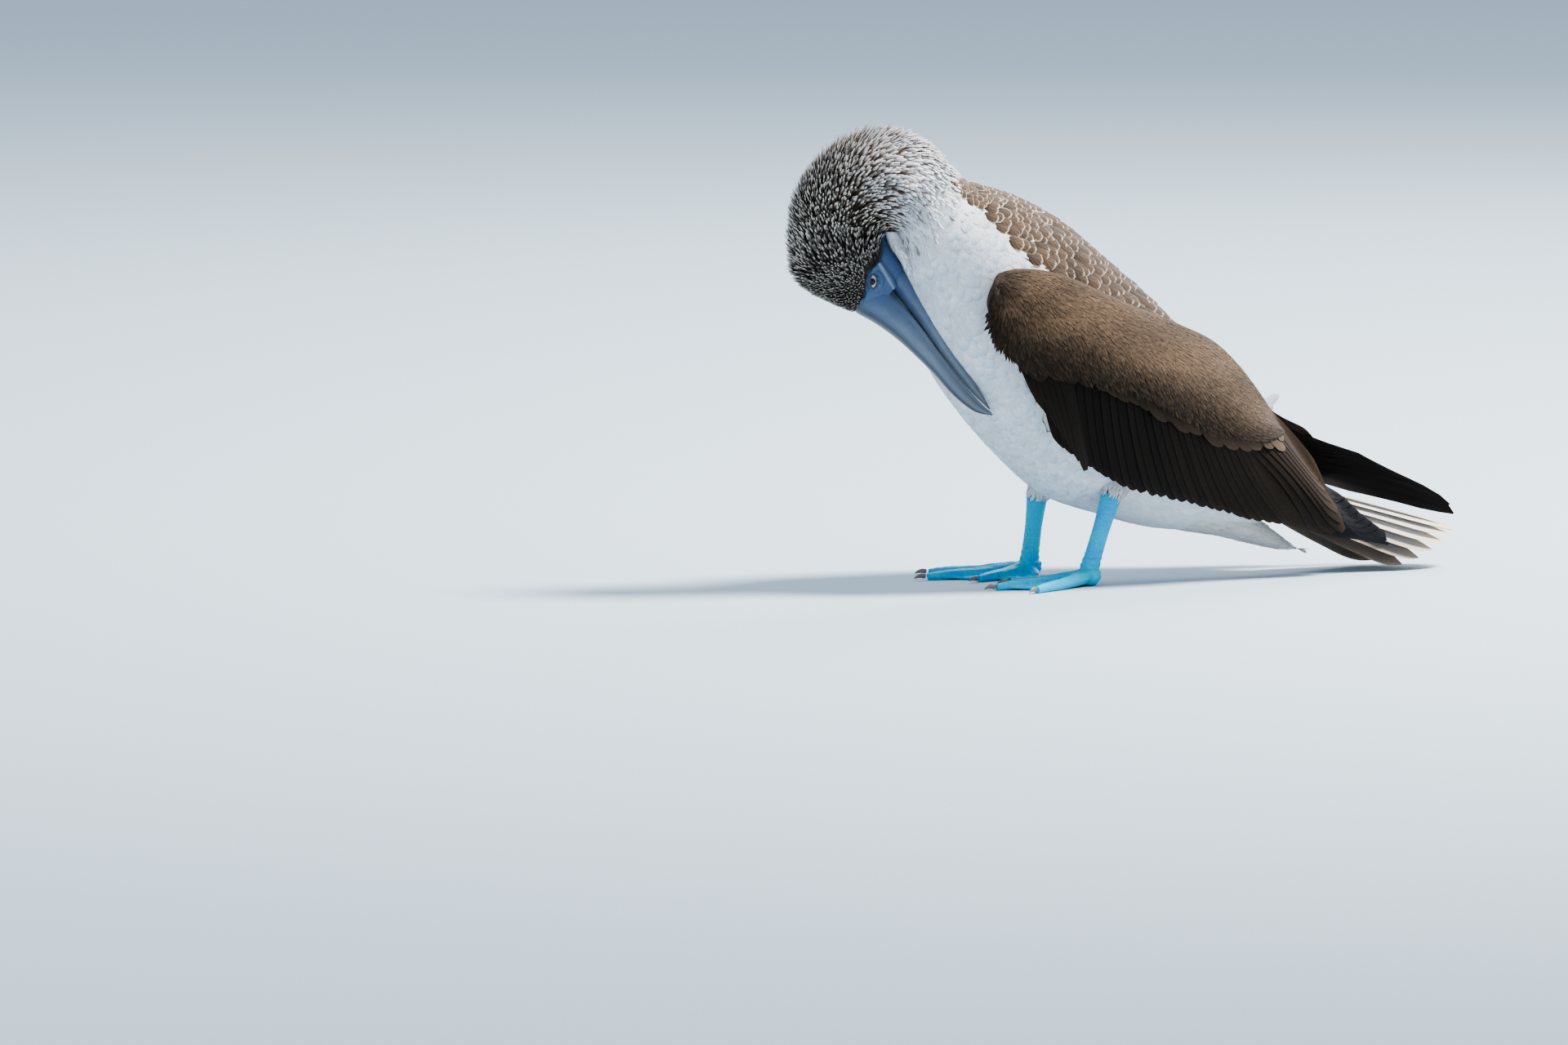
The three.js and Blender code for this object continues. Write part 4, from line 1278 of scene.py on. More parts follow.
    def thighs(self):
        """Short white feathers down to the heels."""
        rng = draws("thighs")
        blank = Blank(2, 2, wispy)
        sides = (("left", (42, -24, 92), (19.5, -36, 60)), ("right", (14, 24, 88), (-1, 36, 55)))
        for name, hip, ankle in sides:
            hip, ankle = array(hip), array(ankle)
            run = unit(hip - ankle)
            side = unit(LEFT - run * (LEFT @ run))
            normal = np.cross(run, side)
            stations = [(0.0, 8.0, 7.4), (0.35, 12.5, 11), (0.6, 17, 14), (1.0, 23, 17)]
            spots = [ankle + (hip - ankle) * share for share, _, _ in stations]
            loft = Loft([
                (spot + normal * deep, spot - normal * deep, side, wide)
                for spot, (_, deep, wide) in zip(spots, stations)
            ])  # fmt: skip
            found = scatter(rng, loft, (0.0, 0.95), (0, 2 * math.pi), (1.7, 1.5), everywhere, samples=40)
            p, q = found.T
            count = len(p)
            corners = lay(
                loft, loft.middle, blank, p, q, rng.uniform(4, 7, count),
                rng.uniform(1.1, 1.8, count), rng.normal(0, 0.2, count), rng.uniform(0.0, 0.5, count),
                depth=0.8, thick=0.08,
            )  # fmt: skip
            tone = rng.uniform(0.86, 1.03, (count, 1))
            tip = plain(tint("white"), count) * tone
            base = tip * 0.9
            obj = feather_object(f"thigh_feathers_{name}", blank, corners, round_place(p, q), base, tip)
            paint = feather_paint(f"thigh feather {name}", 0.8, (0.3, 0.8), relief=0.3)
            finish_piece(obj, paint, "body_feathers")


class BOOBY_OT_head_feathers(bpy.types.Operator):
    """Spiky feathers of the head and neck, dark with pale tips"""

    bl_idname = "booby.head_feathers"
    bl_label = "Head and neck feathers"

    def execute(self, context):
        rng = draws("head")
        settings = plumage()
        spike = Spike()
        for name, low, high, pitch, fringe, slot in (
            ("neck_feathers", 9.3, 13.6, (2.3, 2.0), (0.38, 0.8), "neck_feathers"),
            ("crown_feathers", 13.6, 17.7, (2.0, 1.8), (0.52, 0.88), "head_feathers"),
            ("brow_feathers", 17.7, 20.0, (1.45, 1.3), (0.64, 0.92), "head_feathers"),
        ):

            def weight(p, q, low=low):
                """0 on the bare face and in the pivot, and falling off raggedly where the neck begins."""
                station = p * STATIONS
                spots = FLESH(p, q)
                away = np.linalg.norm(spots - NECK_PIVOT, axis=-1)
                bare_face = face_share(spots) * (station > 15.5)
                entry = ramp(station + rng.uniform(-0.3, 0.3, len(p)), 9.4, 10.4) if low < 10 else 1
                return (bare_face < 0.5) * (away > 3) * entry

            found = scatter(rng, FLESH, (low / STATIONS, high / STATIONS), (0, 2 * math.pi), pitch, weight)
            p, q = found.T
            count = len(p)
            station = p * STATIONS
            nape = ramp(station, 15.5, 10.5)
            near_face = ramp(station, 17.8, 19.6)
            length = settings.spike_length * 1000 * lerp(1.0, 1.5, nape) * lerp(1, 0.5, near_face)
            length = length * rng.uniform(0.8, 1.2, count)
            width = settings.spike_width * 1000 * lerp(1.0, 1.7, nape) * lerp(1, 0.75, near_face)
            width = width * rng.uniform(0.85, 1.2, count)
            ruffled = ramp(station, 10.4, 13) * ramp(station, 19.4, 17)
            lift = length * lerp(0.16, 0.62, ruffled) * lerp(1, 0.7, near_face)
            lift = lift * rng.uniform(0.75, 1.25, count)
            corners = lay(
                FLESH, FLESH.middle, spike, p, q, length, width, rng.normal(0, 0.13, count), lift,
                depth=2.2, thick=0.45, camber=0.0, hug=False,
            )  # fmt: skip
            dark = blend_colours(
                [ramp(station, 16.5, 12.5), ramp(station, 12, 10)], tint("head"), HEAD_WARM, NECK_WARM
            )
            throat = ramp(fold(q), 1.5, 2.3) * ramp(station, 12.6, 11.0)
            base = lerp(vary(rng, dark, 0.5, 1.4), array(THROAT_GREY), (0.85 * throat)[:, None])
            pale = blend_colours([ramp(station, 15, 11.5)], tint("spike_tip"), tint("white"))
            dim = np.where(rng.uniform(0, 1, count) < lerp(0.42, 0.06, nape), 0.3, 1.0)
            dim = dim * lerp(1.0, 0.5, ramp(station, 15.0, 18.5))
            tip = np.clip(pale * (dim * rng.uniform(0.75, 1.05, count))[:, None], 0, 0.92)
            obj = feather_object(name, spike, corners, round_place(p, q), base, tip)
            finish_piece(obj, feather_paint(name.replace("_", " "), 0.7, fringe, relief=0.0, sheen=0.1), slot)
        return {"FINISHED"}


def sheet_places(roots):
    """Places on the unwrap for feathers whose roots lie at these measures of a wing's sheet."""
    return np.array([((a + 20) / 420, (c + 90) / 180) for a, c in roots])


PRIMARIES = 8


class BOOBY_OT_wings(bpy.types.Operator):
    """Coverts, secondaries, tertials and primaries of both folded wings"""

    bl_idname = "booby.wings"
    bl_label = "Wings"

    def execute(self, context):
        covert = feather_paint(
            "wing covert", 0.7, (0.6, 1.0), edge=0.25, shaft=0.2, relief=0.3, sheen=0.12, specular=0.1
        )
        flight = feather_paint(
            "flight feather", 0.62, (0.93, 1.02), edge=0.2, shaft=0.18, barbs=90, relief=0.1, sheen=0.03, specular=0.09,
            barb_light=0.012,
        )  # fmt: skip
        skin = Paint("wing skin", roughness=0.8)
        down = skin.noise(700, 3)
        skin.set("Base Color", skin.mix(down, tint("flight"), WING_LIGHT))
        skin.bump(down, 0.0008, 0.6)
        for name, wing in WINGS.items():
            rng = draws(f"wing {name}")
            core = self.core(name, wing)
            finish_piece(core, skin.material, "wing_feathers", f"wing_{name}")
            finish_piece(self.small_coverts(rng, name, wing), covert, "wing_feathers")
            finish_piece(self.large_coverts(rng, name, wing), covert, "wing_feathers")
            finish_piece(self.flight_feathers(rng, name, wing), flight, "wing_feathers")
        return {"FINISHED"}

    def core(self, name, wing):
        """The fleshy front, a flat form with rounded edges."""
        rows, columns = 60, 16
        u, v = np.meshgrid(np.linspace(0, 1, rows + 1), np.linspace(0, 1, columns + 1), indexing="ij")
        upper = wing.core(u, v, 1, -0.9).reshape(-1, 3)
        lower = wing.core(u, v, -1, 0.9).reshape(-1, 3)
        index = np.arange((rows + 1) * (columns + 1)).reshape(rows + 1, columns + 1)
        squares = np.stack([index[:-1, :-1], index[1:, :-1], index[1:, 1:], index[:-1, 1:]], -1)
        squares = squares.reshape(-1, 4)
        start = len(upper)
        rim = np.concatenate([index[:, 0], index[-1, 1:], index[-2::-1, -1], index[0, -2:0:-1]])
        after = np.roll(rim, -1)
        wall = np.stack([rim, after, after + start, rim + start], -1)
        faces = np.concatenate([squares[:, ::-1], squares + start, wall[:, ::-1]])
        obj = mesh_object(f"wing_core_{name}", np.concatenate([upper, lower]), faces)
        return face_outwards(obj)

    def small_coverts(self, rng, name, wing):
        """Narrow feathers in rows from the wrist back over the fore part of the wing."""

        def surface(p, q):
            return wing.cover(1 - p, q)

        def middle(p, q):
            return wing.core(1 - p, np.asarray(q) * 0 + 0.5, -1) + array(0, wing.side * 30, 0)

        blank = Blank(3, 2, wispy)
        found = scatter(rng, surface, (0.0, 0.985), (0.01, 1.0), (1.7, 1.4), everywhere)
        p, q = found.T
        count = len(p)
        u = 1 - p
        heading = wing.side * -lerp(0.25, 0.95, ramp(q, 0.0, 0.8)) * lerp(1.0, 0.5, ramp(u, 0.5, 0.95))
        heading = heading * ramp(u, -0.06, 0.14)
        corners = lay(
            surface, middle, blank, p, q, rng.uniform(7, 11, count) * lerp(0.6, 1, ramp(u, 0.03, 0.2)),
            rng.uniform(1.6, 2.6, count), heading + rng.normal(0, 0.09, count),
            rng.uniform(0.0, 0.28, count), depth=0.7, thick=0.08, camber=0.05,
        )  # fmt: skip
        # Painted light: lighter along the wing's upper band as if sunlit, falling to darker brown lower down and at the
        # wrist as painted shade; the waves and the random part are the feathers' own tone
        light = ramp(q, 0.95, 0.35) * ramp(u, 0.0, 0.35) * 0.85 + 0.12 * ramp(u, 0.5, 1.0) * q + 0.04
        light = light * (0.82 + 0.18 * np.sin(u * 26 + q * 7)) + rng.normal(0, 0.12, count)
        base = vary(rng, blend_colours([np.clip(light, 0, 1)], tint("wing"), WING_LIGHT), 0.7, 1.15)
        tip = np.clip(vary(rng, base, 1.0, 1.6), 0, 0.8)
        roots = np.stack([u, np.minimum(q, 1)], -1)
        return feather_object(f"small_coverts_{name}", blank, corners, roots, base, tip)

    def vanes(self, wing, blank, rows, hem=None):
        """Corners of feathers that run across the wing's sheet.

        A row is the root, the tip, how far the shaft bows and how early, half the width, the height over the
    sheet, the tilt, the thickness and, where its sides differ, the skew. hem is a line that tips hardly cross.
        """
        corners = []
        for root, tip, bow, early, half, h, tilt, thick, *skew in rows:
            run = unit(array(tip) - array(root))
            u = blank.along
            shift = (skew or [0])[0] * (1 - blank.wide) * ramp(u, 0.4, 0.7)
            w = (blank.across * blank.wide - shift) * half
            sag = bow * np.sin(math.pi * u**early)
            a = lerp(root[0], tip[0], u) - run[1] * (w + sag)
            c = lerp(root[1], tip[1], u) + run[0] * (w + sag)
            if hem:
                c = c - 0.75 * np.maximum(c - hem(a), 0)
            rib = 0.3 * thick * blank.shaft
            out = h + tilt * w / half + blank.face * (thick * (1 - 0.5 * u) / 2 + rib)
            out = out - 0.35 * (np.abs(blank.across) ** 2.5) * blank.wide
            corners.append(wing(a, c, out))
        return np.array(corners)

    def large_coverts(self, rng, name, wing):
        """Median and greater coverts below the small ones, and the coverts of the primaries."""
        blank = Blank(10, 8, blunt)
        rows, light = [], []
        tiers = ((21, 3.6, 46, 8.2, 2.4), (24, -4, 30, 6.8, 3.1))
        for tier, (count, drop, length, half, h) in enumerate(tiers):
            for i in range(count):
                t = i / (count - 1)
                tip_a = lerp(56, 256, t) + rng.normal(0, 1.6)
                line = covert_line(tip_a) + drop + rng.normal(0, 1.3)
                root = (tip_a - length, line - lerp(24, 14, t) * length / 44 + drop * 0.2)
                rows.append((root, (tip_a, line), 0, 1, half * rng.uniform(0.9, 1.1), h - 0.4 * t, 1.0, 0.6))
                light.append(lerp(0.03, 0.34, t**1.5) * (1 - 0.15 * tier) + rng.normal(0, 0.04))
        for i in range(7):
            root, tip = (14 + 5 * i, -7 - i), (80 + 8 * i, 39 + 3.2 * i)
            rows.append((root, tip, 2 - i * 0.4, 1, 5, -0.9 + 0.25 * i, 1.0, 0.7))
            light.append(0.0)
        corners = self.vanes(wing, blank, rows)
        light = np.clip(np.array(light), 0, 1)
        base = vary(rng, blend_colours([light], tint("wing") * 0.5, WING_LIGHT), 0.85, 1.1)
        roots = sheet_places([row[0] for row in rows])
        return feather_object(f"large_coverts_{name}", blank, corners, roots, base, base * 1.8)

    def flight_feathers(self, rng, name, wing):
        """Secondaries, tertials and primaries, one mesh for each wing."""
        blank = Blank(18, 8, blunt)
        rows, light = [], []
        secondaries = 27
        for i in range(secondaries):
            t = i / (secondaries - 1)
            root_a, tip_a = lerp(56, 200, t), lerp(106, 306, t)
            root = (root_a, covert_line(root_a) - lerp(16, 22, t))
            tip = (tip_a + rng.normal(0, 0.8), wing_bottom(tip_a) - 0.5 + rng.normal(0, 0.5))
            half = lerp(7.8, 7.2, t) * rng.uniform(0.94, 1.06)
            rows.append((root, tip, lerp(2, 5, t), 1, half, -0.8 + 0.05 * (i % 2), 1.5, 0.45))
            light.append(lerp(0.0, 0.10, t**2.5) + rng.uniform(0, 0.03))
        for i in range(-2, 6):
            root = (198 - 2.4 * i, -29 - 5 * i)
            tip = (326 - 5.4 * max(i, 0) + 6 * min(i, 0), -3 - 4.8 * i)
            rows.append((root, tip, -7 + 0.4 * i, 1, 8.2, -0.2 + 0.3 * i, 1.7, 0.5))
            light.append(0.10 + 0.02 * max(i, 0))
        corners = np.concatenate([self.vanes(wing, blank, rows, wing_bottom), self.primaries(wing, blank)])
        base = vary(rng, blend_colours([np.array(light)], tint("flight"), WING_LIGHT), 0.8, 1.2)
        # Painted sheen: the near (left) wing's primaries take the lighter slate, the far wing's stay black
        dark = plain(SHEEN_SLATE if name == "left" else PRIMARY_BLACK, PRIMARIES)
        base = np.concatenate([base, dark * np.linspace(0.75, 1.25, PRIMARIES)[:, None]])
        rows_at = [row[0] for row in rows] + [(70 + 8 * i, -8) for i in range(PRIMARIES)]
        roots = sheet_places(rows_at) + np.linspace(0, 0.01, len(base))[:, None]
        return feather_object(f"flight_feathers_{name}", blank, corners, roots, base, base * 1.6 + 0.003)

    def primaries(self, wing, blank):
        """Corners of the long outer feathers, their tips one behind the other along the upper outline."""
        corners = []
        u = blank.along
        for i in range(PRIMARIES):
            tip = wing.reach - (4.5 if i == 1 else 6.5 * i)
            a = lerp(42 + 6 * i, tip, u)
            to_tip = np.clip((tip - a) / 46, 0, 1)
            half = lerp(4.5, 7.8, ramp(u, 0.0, 0.5)) * (0.06 + 0.94 * np.sqrt(1 - (1 - to_tip) ** 2.2))
            up = lerp(i / (PRIMARIES - 1), 1.0, ramp(a, tip - 110, tip - 30)) if i else 0.0
            middle = lerp(wing.low(a) - half, wing.high(a) + half, up)
            out = lerp(-8.0, -4.4, i / (PRIMARIES - 1)) + blank.face * (0.25 + 0.2 * blank.shaft)
            corners.append(wing(a, middle + blank.across * half, out - 0.3 * blank.across**2))
        return np.array(corners)


class BOOBY_OT_tail(bpy.types.Operator):
    """Twelve worn tail feathers, pale in the middle of the fan and brown at its sides"""

    bl_idname = "booby.tail"
    bl_label = "Tail"

    def execute(self, context):
        rng = draws("tail")
        blank = Blank(20, 8, worn)
        fan = array(96, 0, 79)
        corners, base, tip, roots = [], [], [], []
        for side in (1, -1):
            for i in range(6):
                t = i / 5
                slope = math.radians(15.5 + 1.2 * t)
                axis = array(math.cos(slope), 0, -math.sin(slope))
                normal = array(math.sin(slope), 0, math.cos(slope))
                spread, droop = math.radians(lerp(1.4, 13.5, t)), math.radians(lerp(8, 46, t))
                length = lerp(204, 158, t**1.2)
                out = array(0, -side * math.cos(droop), -math.sin(droop))
                run = math.cos(spread) * axis + math.sin(spread) * out
                cross = -math.sin(spread) * axis + math.cos(spread) * out
                lift = unit(np.cross(run, cross))
                lift = lift * np.sign(lift @ normal)
                u = blank.along
                reach = lerp(58, length, u)
                w = blank.across * blank.wide * 9.6
                level = -1.2 * i - (0.6 if side < 0 else 0) - 0.1 * w
                rib = 0.25 * blank.shaft * (1 - 0.6 * u)
                skin = blank.face * (0.3 * (1 - 0.4 * u) + rib)
                h = level + skin
                corners.append(fan + reach[:, None] * run + w[:, None] * cross + h[:, None] * lift)
                pale = ramp(t, 1.0, 0.4)
                base.append(lerp(array(TAIL_BROWN), array(TAIL_CREAM), pale) * rng.uniform(0.85, 1.1))
                tip.append(lerp(array(TAIL_TIP_BROWN), array(TAIL_TIP_BUFF), pale))
                roots.append((0.1 + 0.8 * (i + 6 * (side < 0)) / 12, 0.5))
        columns = (np.array(column) for column in (corners, roots, base, tip))
        obj = feather_object("tail_feathers", blank, *columns)
        paint = feather_paint(
            "tail feather", 0.65, (0.85, 1.03), edge=0.3, shaft=0.2, barbs=90, relief=0.05, specular=0.15,
            barb_light=0.02,
        )  # fmt: skip
        finish_piece(obj, paint, "tail_feathers", "tail")
        return {"FINISHED"}


class BOOBY_OT_bill(bpy.types.Operator):
    """Both halves of the bill"""

    bl_idname = "booby.bill"
    bl_label = "Bill"

    def execute(self, context):
        settings = bare()
        for name, rows, node in (("upper", UPPER_BILL, "bill_upper"), ("lower", LOWER_BILL, "bill_lower")):
            upper = name == "upper"

            def shape(points, t, turn, upper=upper, loft=Loft(bill_stations(rows))):
                centre = loft.middle(t)
                away = points - centre
                side = fold(turn)
                groove = np.exp(-(((side - 1.05) / 0.09) ** 2)) * ramp(t, 0.02, 0.1) * ramp(t, 0.86, 0.7)
                squeeze = 1 - (0.055 * groove if upper else 0)
                forward, _, _ = head_measures(points)
                chin = 2.2 * np.exp(-(((side - math.pi) / 1.15) ** 4)) * ramp(forward, 46, 8) * (not upper)
                chin = chin - 1.2 * ramp(forward, 12, 4)
                return centre + away * np.asarray(squeeze)[..., None] + unit(away) * chin[:, None]

            obj = tube_object(f"bill_{name}_horn", Loft(bill_stations(rows)), 56, 120, shape, (-0.05, 1.0))
            paint = Paint(f"bill {name}", roughness=0.42, specular=0.45, coat=0.12)
            along, around = paint.split_uv("lie")
            side = (around * 2 - 1).size()
            streak = paint.noise(160, 4)
            fine = paint.noise(600, 3)
            if upper:
                dark = (side + (streak - 0.5) * 0.12).ramp(0.66, 0.86)
                pale = (side + (streak - 0.5) * 0.1).ramp(0.42, 0.2)
            else:
                dark = along.ramp(0.7, 1.0) * 0.6
                pale = side.ramp(0.6, 0.95) * 0.5
            base = (along + (streak - 0.5) * 0.15).ramp(0.42, 0.0)
            blue = paint.mix(base, settings.bill, tint("face") * 0.9)
            grey = paint.mix(along.ramp(0.3, 0.95), blue, (0.10, 0.112, 0.13))
            colour = paint.mix(dark * 0.85, grey, settings.culmen)
            colour = paint.mix(pale * along.ramp(0.05, 0.35) * 0.7, colour, (0.27, 0.31, 0.36))
            colour = paint.mix(along.ramp(0.93, 1.0), colour, (0.05, 0.05, 0.056))
            paint.set("Base Color", paint.shade(colour, 0.8 + streak * 0.3 + fine * 0.12))
            paint.set("Roughness", 0.36 + fine * 0.18)
            paint.bump(streak * 0.6 + fine * 0.4, 0.0006, 0.35)
            finish_piece(obj, paint.material, "bill", node)
        return {"FINISHED"}


def gaze(side, forward=0.5, up=-0.2):
    return unit(0.8 * side * HEAD_LEFT + forward * FORWARD + up * HEAD_UP)


def eye_centre(side):
    return in_head(-0.8, -0.2, side * (EYE_SET - 0.4))


OPENING = (0.09, 0.21)  # how far forward and up the lids open
PUPIL = (0.03, 0.29)  # and the eyeball looks


class BOOBY_OT_face(bpy.types.Operator):
    """Bare blue skin, lids and eyes"""

    bl_idname = "booby.face"
    bl_label = "Face and eyes"

    def execute(self, context):
        settings = bare()
        obj = self.skin()
        material = self.face_paint(obj, settings)
        finish_piece(obj, material, "bill")
        for name, side in (("left", 1), ("right", -1)):
            self.eye(name, side, settings)
            finish_piece(self.lids(name, side), material, "bill")
        return {"FINISHED"}

    def face_paint(self, obj, settings):
        """Blue on the bare skin, dark under the feathers, a pale groove along the gape and painted shade below it."""
        points = to_bird(vertex_array(obj))
        forward, up, _ = head_measures(points)
        bare_skin = face_share(points)
        colour = blend_colours([bare_skin], tint("head"), tint("face"))
        mouth = lerp(-9.5, -7.6, ramp(forward, -16, 10))
        gape = ramp(forward, -19, -12) * np.exp(-(((up - mouth) / 0.8) ** 2)) * bare_skin
        colour = lerp(colour, array(GAPE_PALE), (0.8 * gape)[:, None])
        # Painted shade: a dark line just below the gape, where the fold of the mouth lies in shadow
        under = np.exp(-(((up + 11.2) / 0.9) ** 2)) * ramp(forward, -18, -8) * bare_skin
        colour = colour * (1 - 0.6 * under)[:, None]
        set_colour(obj, "marking", colour)
        paint = Paint("face skin", roughness=0.55, specular=0.35, subsurface=0.05)
        fine, broad = paint.noise(900, 4), paint.noise(160, 2)
        paint.set("Base Color", paint.shade(paint.attribute("marking"), (0.6 + broad * 0.35) + fine * 0.5))
        paint.bump(fine + broad * 1.5, 0.0009, 0.6)
        return paint.material

    def skin(self):
        """The front of the head, a shell over the skin, with shallow folds."""
        rng = draws("face")
        waves = rng.uniform(-1, 1, (12, 3))
        starts = rng.uniform(0, 6, 12)

        def shape(points, t, turn):
            forward, up, left = head_measures(points)
            ripple = sum(np.sin(points @ w * 1.1 + s) for w, s in zip(waves, starts)) / 12
            bare_skin = face_share(points)
            level = lerp(-3.0, 0.15, ramp(bare_skin, 0.1, 0.9))
            level = level + 0.35 * ripple * bare_skin * ramp(forward, 13, 6)
            chin = np.exp(-(((fold(turn) - math.pi) / 1.15) ** 4))
            chin = chin * ramp(t * STATIONS, 16.2, 17.4) * ramp(forward, 14, 8)
            level = level + 2.3 * chin - 2.0 * ramp(forward, 5, 15.5)
            centre = FLESH.middle(t)
            apart = [np.linalg.norm(points - in_head(0.6, -2.0, side * 15.6), axis=-1) for side in (1, -1)]
            eye = sum(np.exp(-((distance / 9) ** 4)) for distance in apart)
            return points + unit(points - centre) * (level - 0.9 * eye)[:, None]

        return tube_object("face_skin", FLESH, 160, 110, shape, (15.8 / STATIONS, 1.02))

    def eye(self, name, side, settings):
        """A ball with a pale iris and a black pupil, dark blue-black beyond the iris as painted shade under the lids.
        """
        centre = eye_centre(side)
        obj = new_primitive(
            f"eye_{name}_ball", bpy.ops.mesh.primitive_uv_sphere_add,
            segments=64, ring_count=48, radius=EYE_RADIUS / 1000,
        )  # fmt: skip
        aim = Vector(gaze(side, *PUPIL)).normalized()
        obj.rotation_mode = "QUATERNION"
        obj.rotation_quaternion = aim.to_track_quat("Z", "Y")
        obj.location = to_model(centre)
        bpy.ops.object.transform_apply(location=True, rotation=True, scale=True)
        points = to_bird(vertex_array(obj))
        turn = np.arccos(np.clip(unit(points - centre) @ np.array(aim), -1, 1))
        around = np.arctan2(*(points - centre)[:, :2].T) / 6.3 + 0.5
        set_uv(obj, "lie", np.stack([turn / math.pi, around], -1))
        paint = Paint(f"eye {name}", roughness=0.1, specular=0.35, coat=0.0)
        angle, _ = paint.split_uv("lie")
        rays = paint.noise(500, 3)
        iris = paint.mix((angle + rays * 0.02).ramp(0.13, 0.2), settings.iris, tint("iris") * 0.6)
        colour = paint.mix(angle.ramp(0.088, 0.096), (0.004, 0.004, 0.005), iris)
        # Painted shade: the ball beyond the iris is dark blue-black, as it lies in the lids' shadow
        colour = paint.mix(angle.ramp(0.196, 0.204), colour, (0.012, 0.018, 0.03))
        paint.set("Base Color", colour)
        finish_piece(obj, paint.material, "eye", f"eye_{name}")

    def lids(self, name, side):
        """Rolls of skin that close over the eyeball, round a narrow opening."""
        aim = gaze(side, *OPENING)
        centre = eye_centre(side)
        tall = unit(0.76 * FORWARD + 0.65 * HEAD_UP)
        tall = unit(tall - aim * (tall @ aim))
        wide = np.cross(aim, tall)
        obj = new_primitive(
            f"lids_{name}", bpy.ops.mesh.primitive_torus_add,
            major_segments=96, minor_segments=28, major_radius=1, minor_radius=0.25,
        )  # fmt: skip
        flat = vertex_array(obj)
        turn = np.arctan2(flat[:, 1], flat[:, 0])
        ring, rise = (np.hypot(flat[:, 0], flat[:, 1]) - 1) * 4, flat[:, 2] * 4
        inner = (ring + 1) / 2
        along = lerp(4.5, 9.8, inner) * np.cos(turn) * lerp(1, 0.94, np.abs(np.sin(turn)))
        across = lerp(1.8, 9.4, inner) * np.sin(turn) * lerp(1 - 0.35 * np.abs(np.cos(turn)) ** 3, 1, inner)
        away = np.hypot(along, across)
        bend = away / EYE_RADIUS
        wrinkle = 0.22 * np.sin(turn * 9 + 1) * np.sin(inner * 9) + 0.25 * np.sin(inner * 12)
        height = EYE_RADIUS + 0.3 + 0.75 * rise * lerp(0.55, 1, inner) + np.maximum(rise, 0) * wrinkle
        height = height + 0.35 * ramp(inner, 0.3, 0.6) - 0.35 * inner**3
        heading = (along[:, None] * tall + across[:, None] * wide) / away[:, None]
        points = centre + height[:, None] * (np.cos(bend)[:, None] * aim + np.sin(bend)[:, None] * heading)
        move_vertices(obj, to_model(points))
        face_outwards(obj)
        # Painted shade: the lids darken towards the opening, where they roll in over the eye
        light = lerp(0.35, 1.0, ramp(inner, 0.0, 0.35))
        set_colour(obj, "marking", plain(tint("face"), len(points)) * light[:, None])
        return obj


class BOOBY_OT_feet(bpy.types.Operator):
    """Turquoise legs and webbed feet with scutes, and their claws"""

    bl_idname = "booby.feet"
    bl_label = "Feet"

    def execute(self, context):
        settings = bare()
        paint = Paint("foot skin", roughness=0.48, specular=0.4, subsurface=0.08)
        fine, broad, patch = paint.noise(1100, 4), paint.noise(220, 3), paint.noise(70, 2)
        cells = paint.add(
            "ShaderNodeTexVoronoi", {"feature": "DISTANCE_TO_EDGE"}, {"Vector": paint.place(), "Scale": 850}
        )
        height = paint.add("ShaderNodeSeparateXYZ", None, {0: paint.place()}, out=2)
        colour = paint.mix(patch.ramp(0.35, 0.68), (0.006, 0.46, 0.64), settings.foot)
        colour = paint.mix(broad.ramp(0.6, 0.75) * 0.6, colour, (0.003, 0.20, 0.50))
        shank = (height + (broad - 0.5) * 0.02).ramp(0.034, 0.062)
        colour = paint.mix(shank * 0.6, colour, (0.006, 0.29, 0.56))
        colour = paint.mix(fine.ramp(0.55, 0.75) * height.ramp(0.01, 0.03) * 0.5, colour, (0.16, 0.56, 0.62))
        colour = paint.mix(cells.ramp(0.10, 0.0) * 0.2, colour, (0.04, 0.46, 0.60))
        paint.set("Base Color", paint.shade(colour, 0.8 + fine * 0.4))
        paint.bump(cells.ramp(0.0, 0.12) * 0.5 + fine * 0.8 + broad, 0.0006, 0.5)
        horn = Paint("claw", roughness=0.4, specular=0.4)
        grain = horn.noise(1500, 3)
        horn.set("Base Color", horn.shade(horn.mix(grain, settings.claw, (0.3, 0.27, 0.25)), 0.9))
        for side in ("left", "right"):
            foot = clean_copy(f"foot_{side}_skin", f"leg_{side}", f"foot_{side}")
            apply(foot, "REMESH", mode="VOXEL", voxel_size=FOOT_VOXEL, use_smooth_shade=True)
            apply(foot, "SMOOTH", factor=0.5, iterations=5)
            self.scutes(foot)
            finish_piece(foot, paint.material, "foot_skin", f"leg_{side}", f"foot_{side}")
            names = [f"claw_{side}_{toe}" for toe in ("outer", "middle", "inner", "hind")]
            claws = clean_copy(f"claws_{side}", *names)
            apply(claws, "SUBSURF", levels=2, render_levels=2)
            finish_piece(claws, horn.material, "claw", *names)
        return {"FINISHED"}

    def scutes(self, foot):
        """Fine cross ridges on the shanks and toes, and deeper folds over the heel."""
        points = vertex_array(foot)
        x, y, z = to_bird(points).T
        shank = np.sin(z * 2.6 + 1.2 * np.sin(y * 0.5)) * ramp(z, 9, 16)
        toes = np.sin(x * 1.7 + y * 0.6) * ramp(z, 9, 5) * ramp(z, 0.6, 2.5) * 0.6
        folds = np.sin(z * 1.5 + 0.9 * np.sin(x * 0.4)) * ramp(z, 5, 9) * ramp(z, 26, 16)
        height = (shank * 0.7 + toes + 2.2 * folds) * SCUTE_HEIGHT
        move_vertices(foot, points + read_vectors(foot.data.vertex_normals, "vector") * height[:, None])


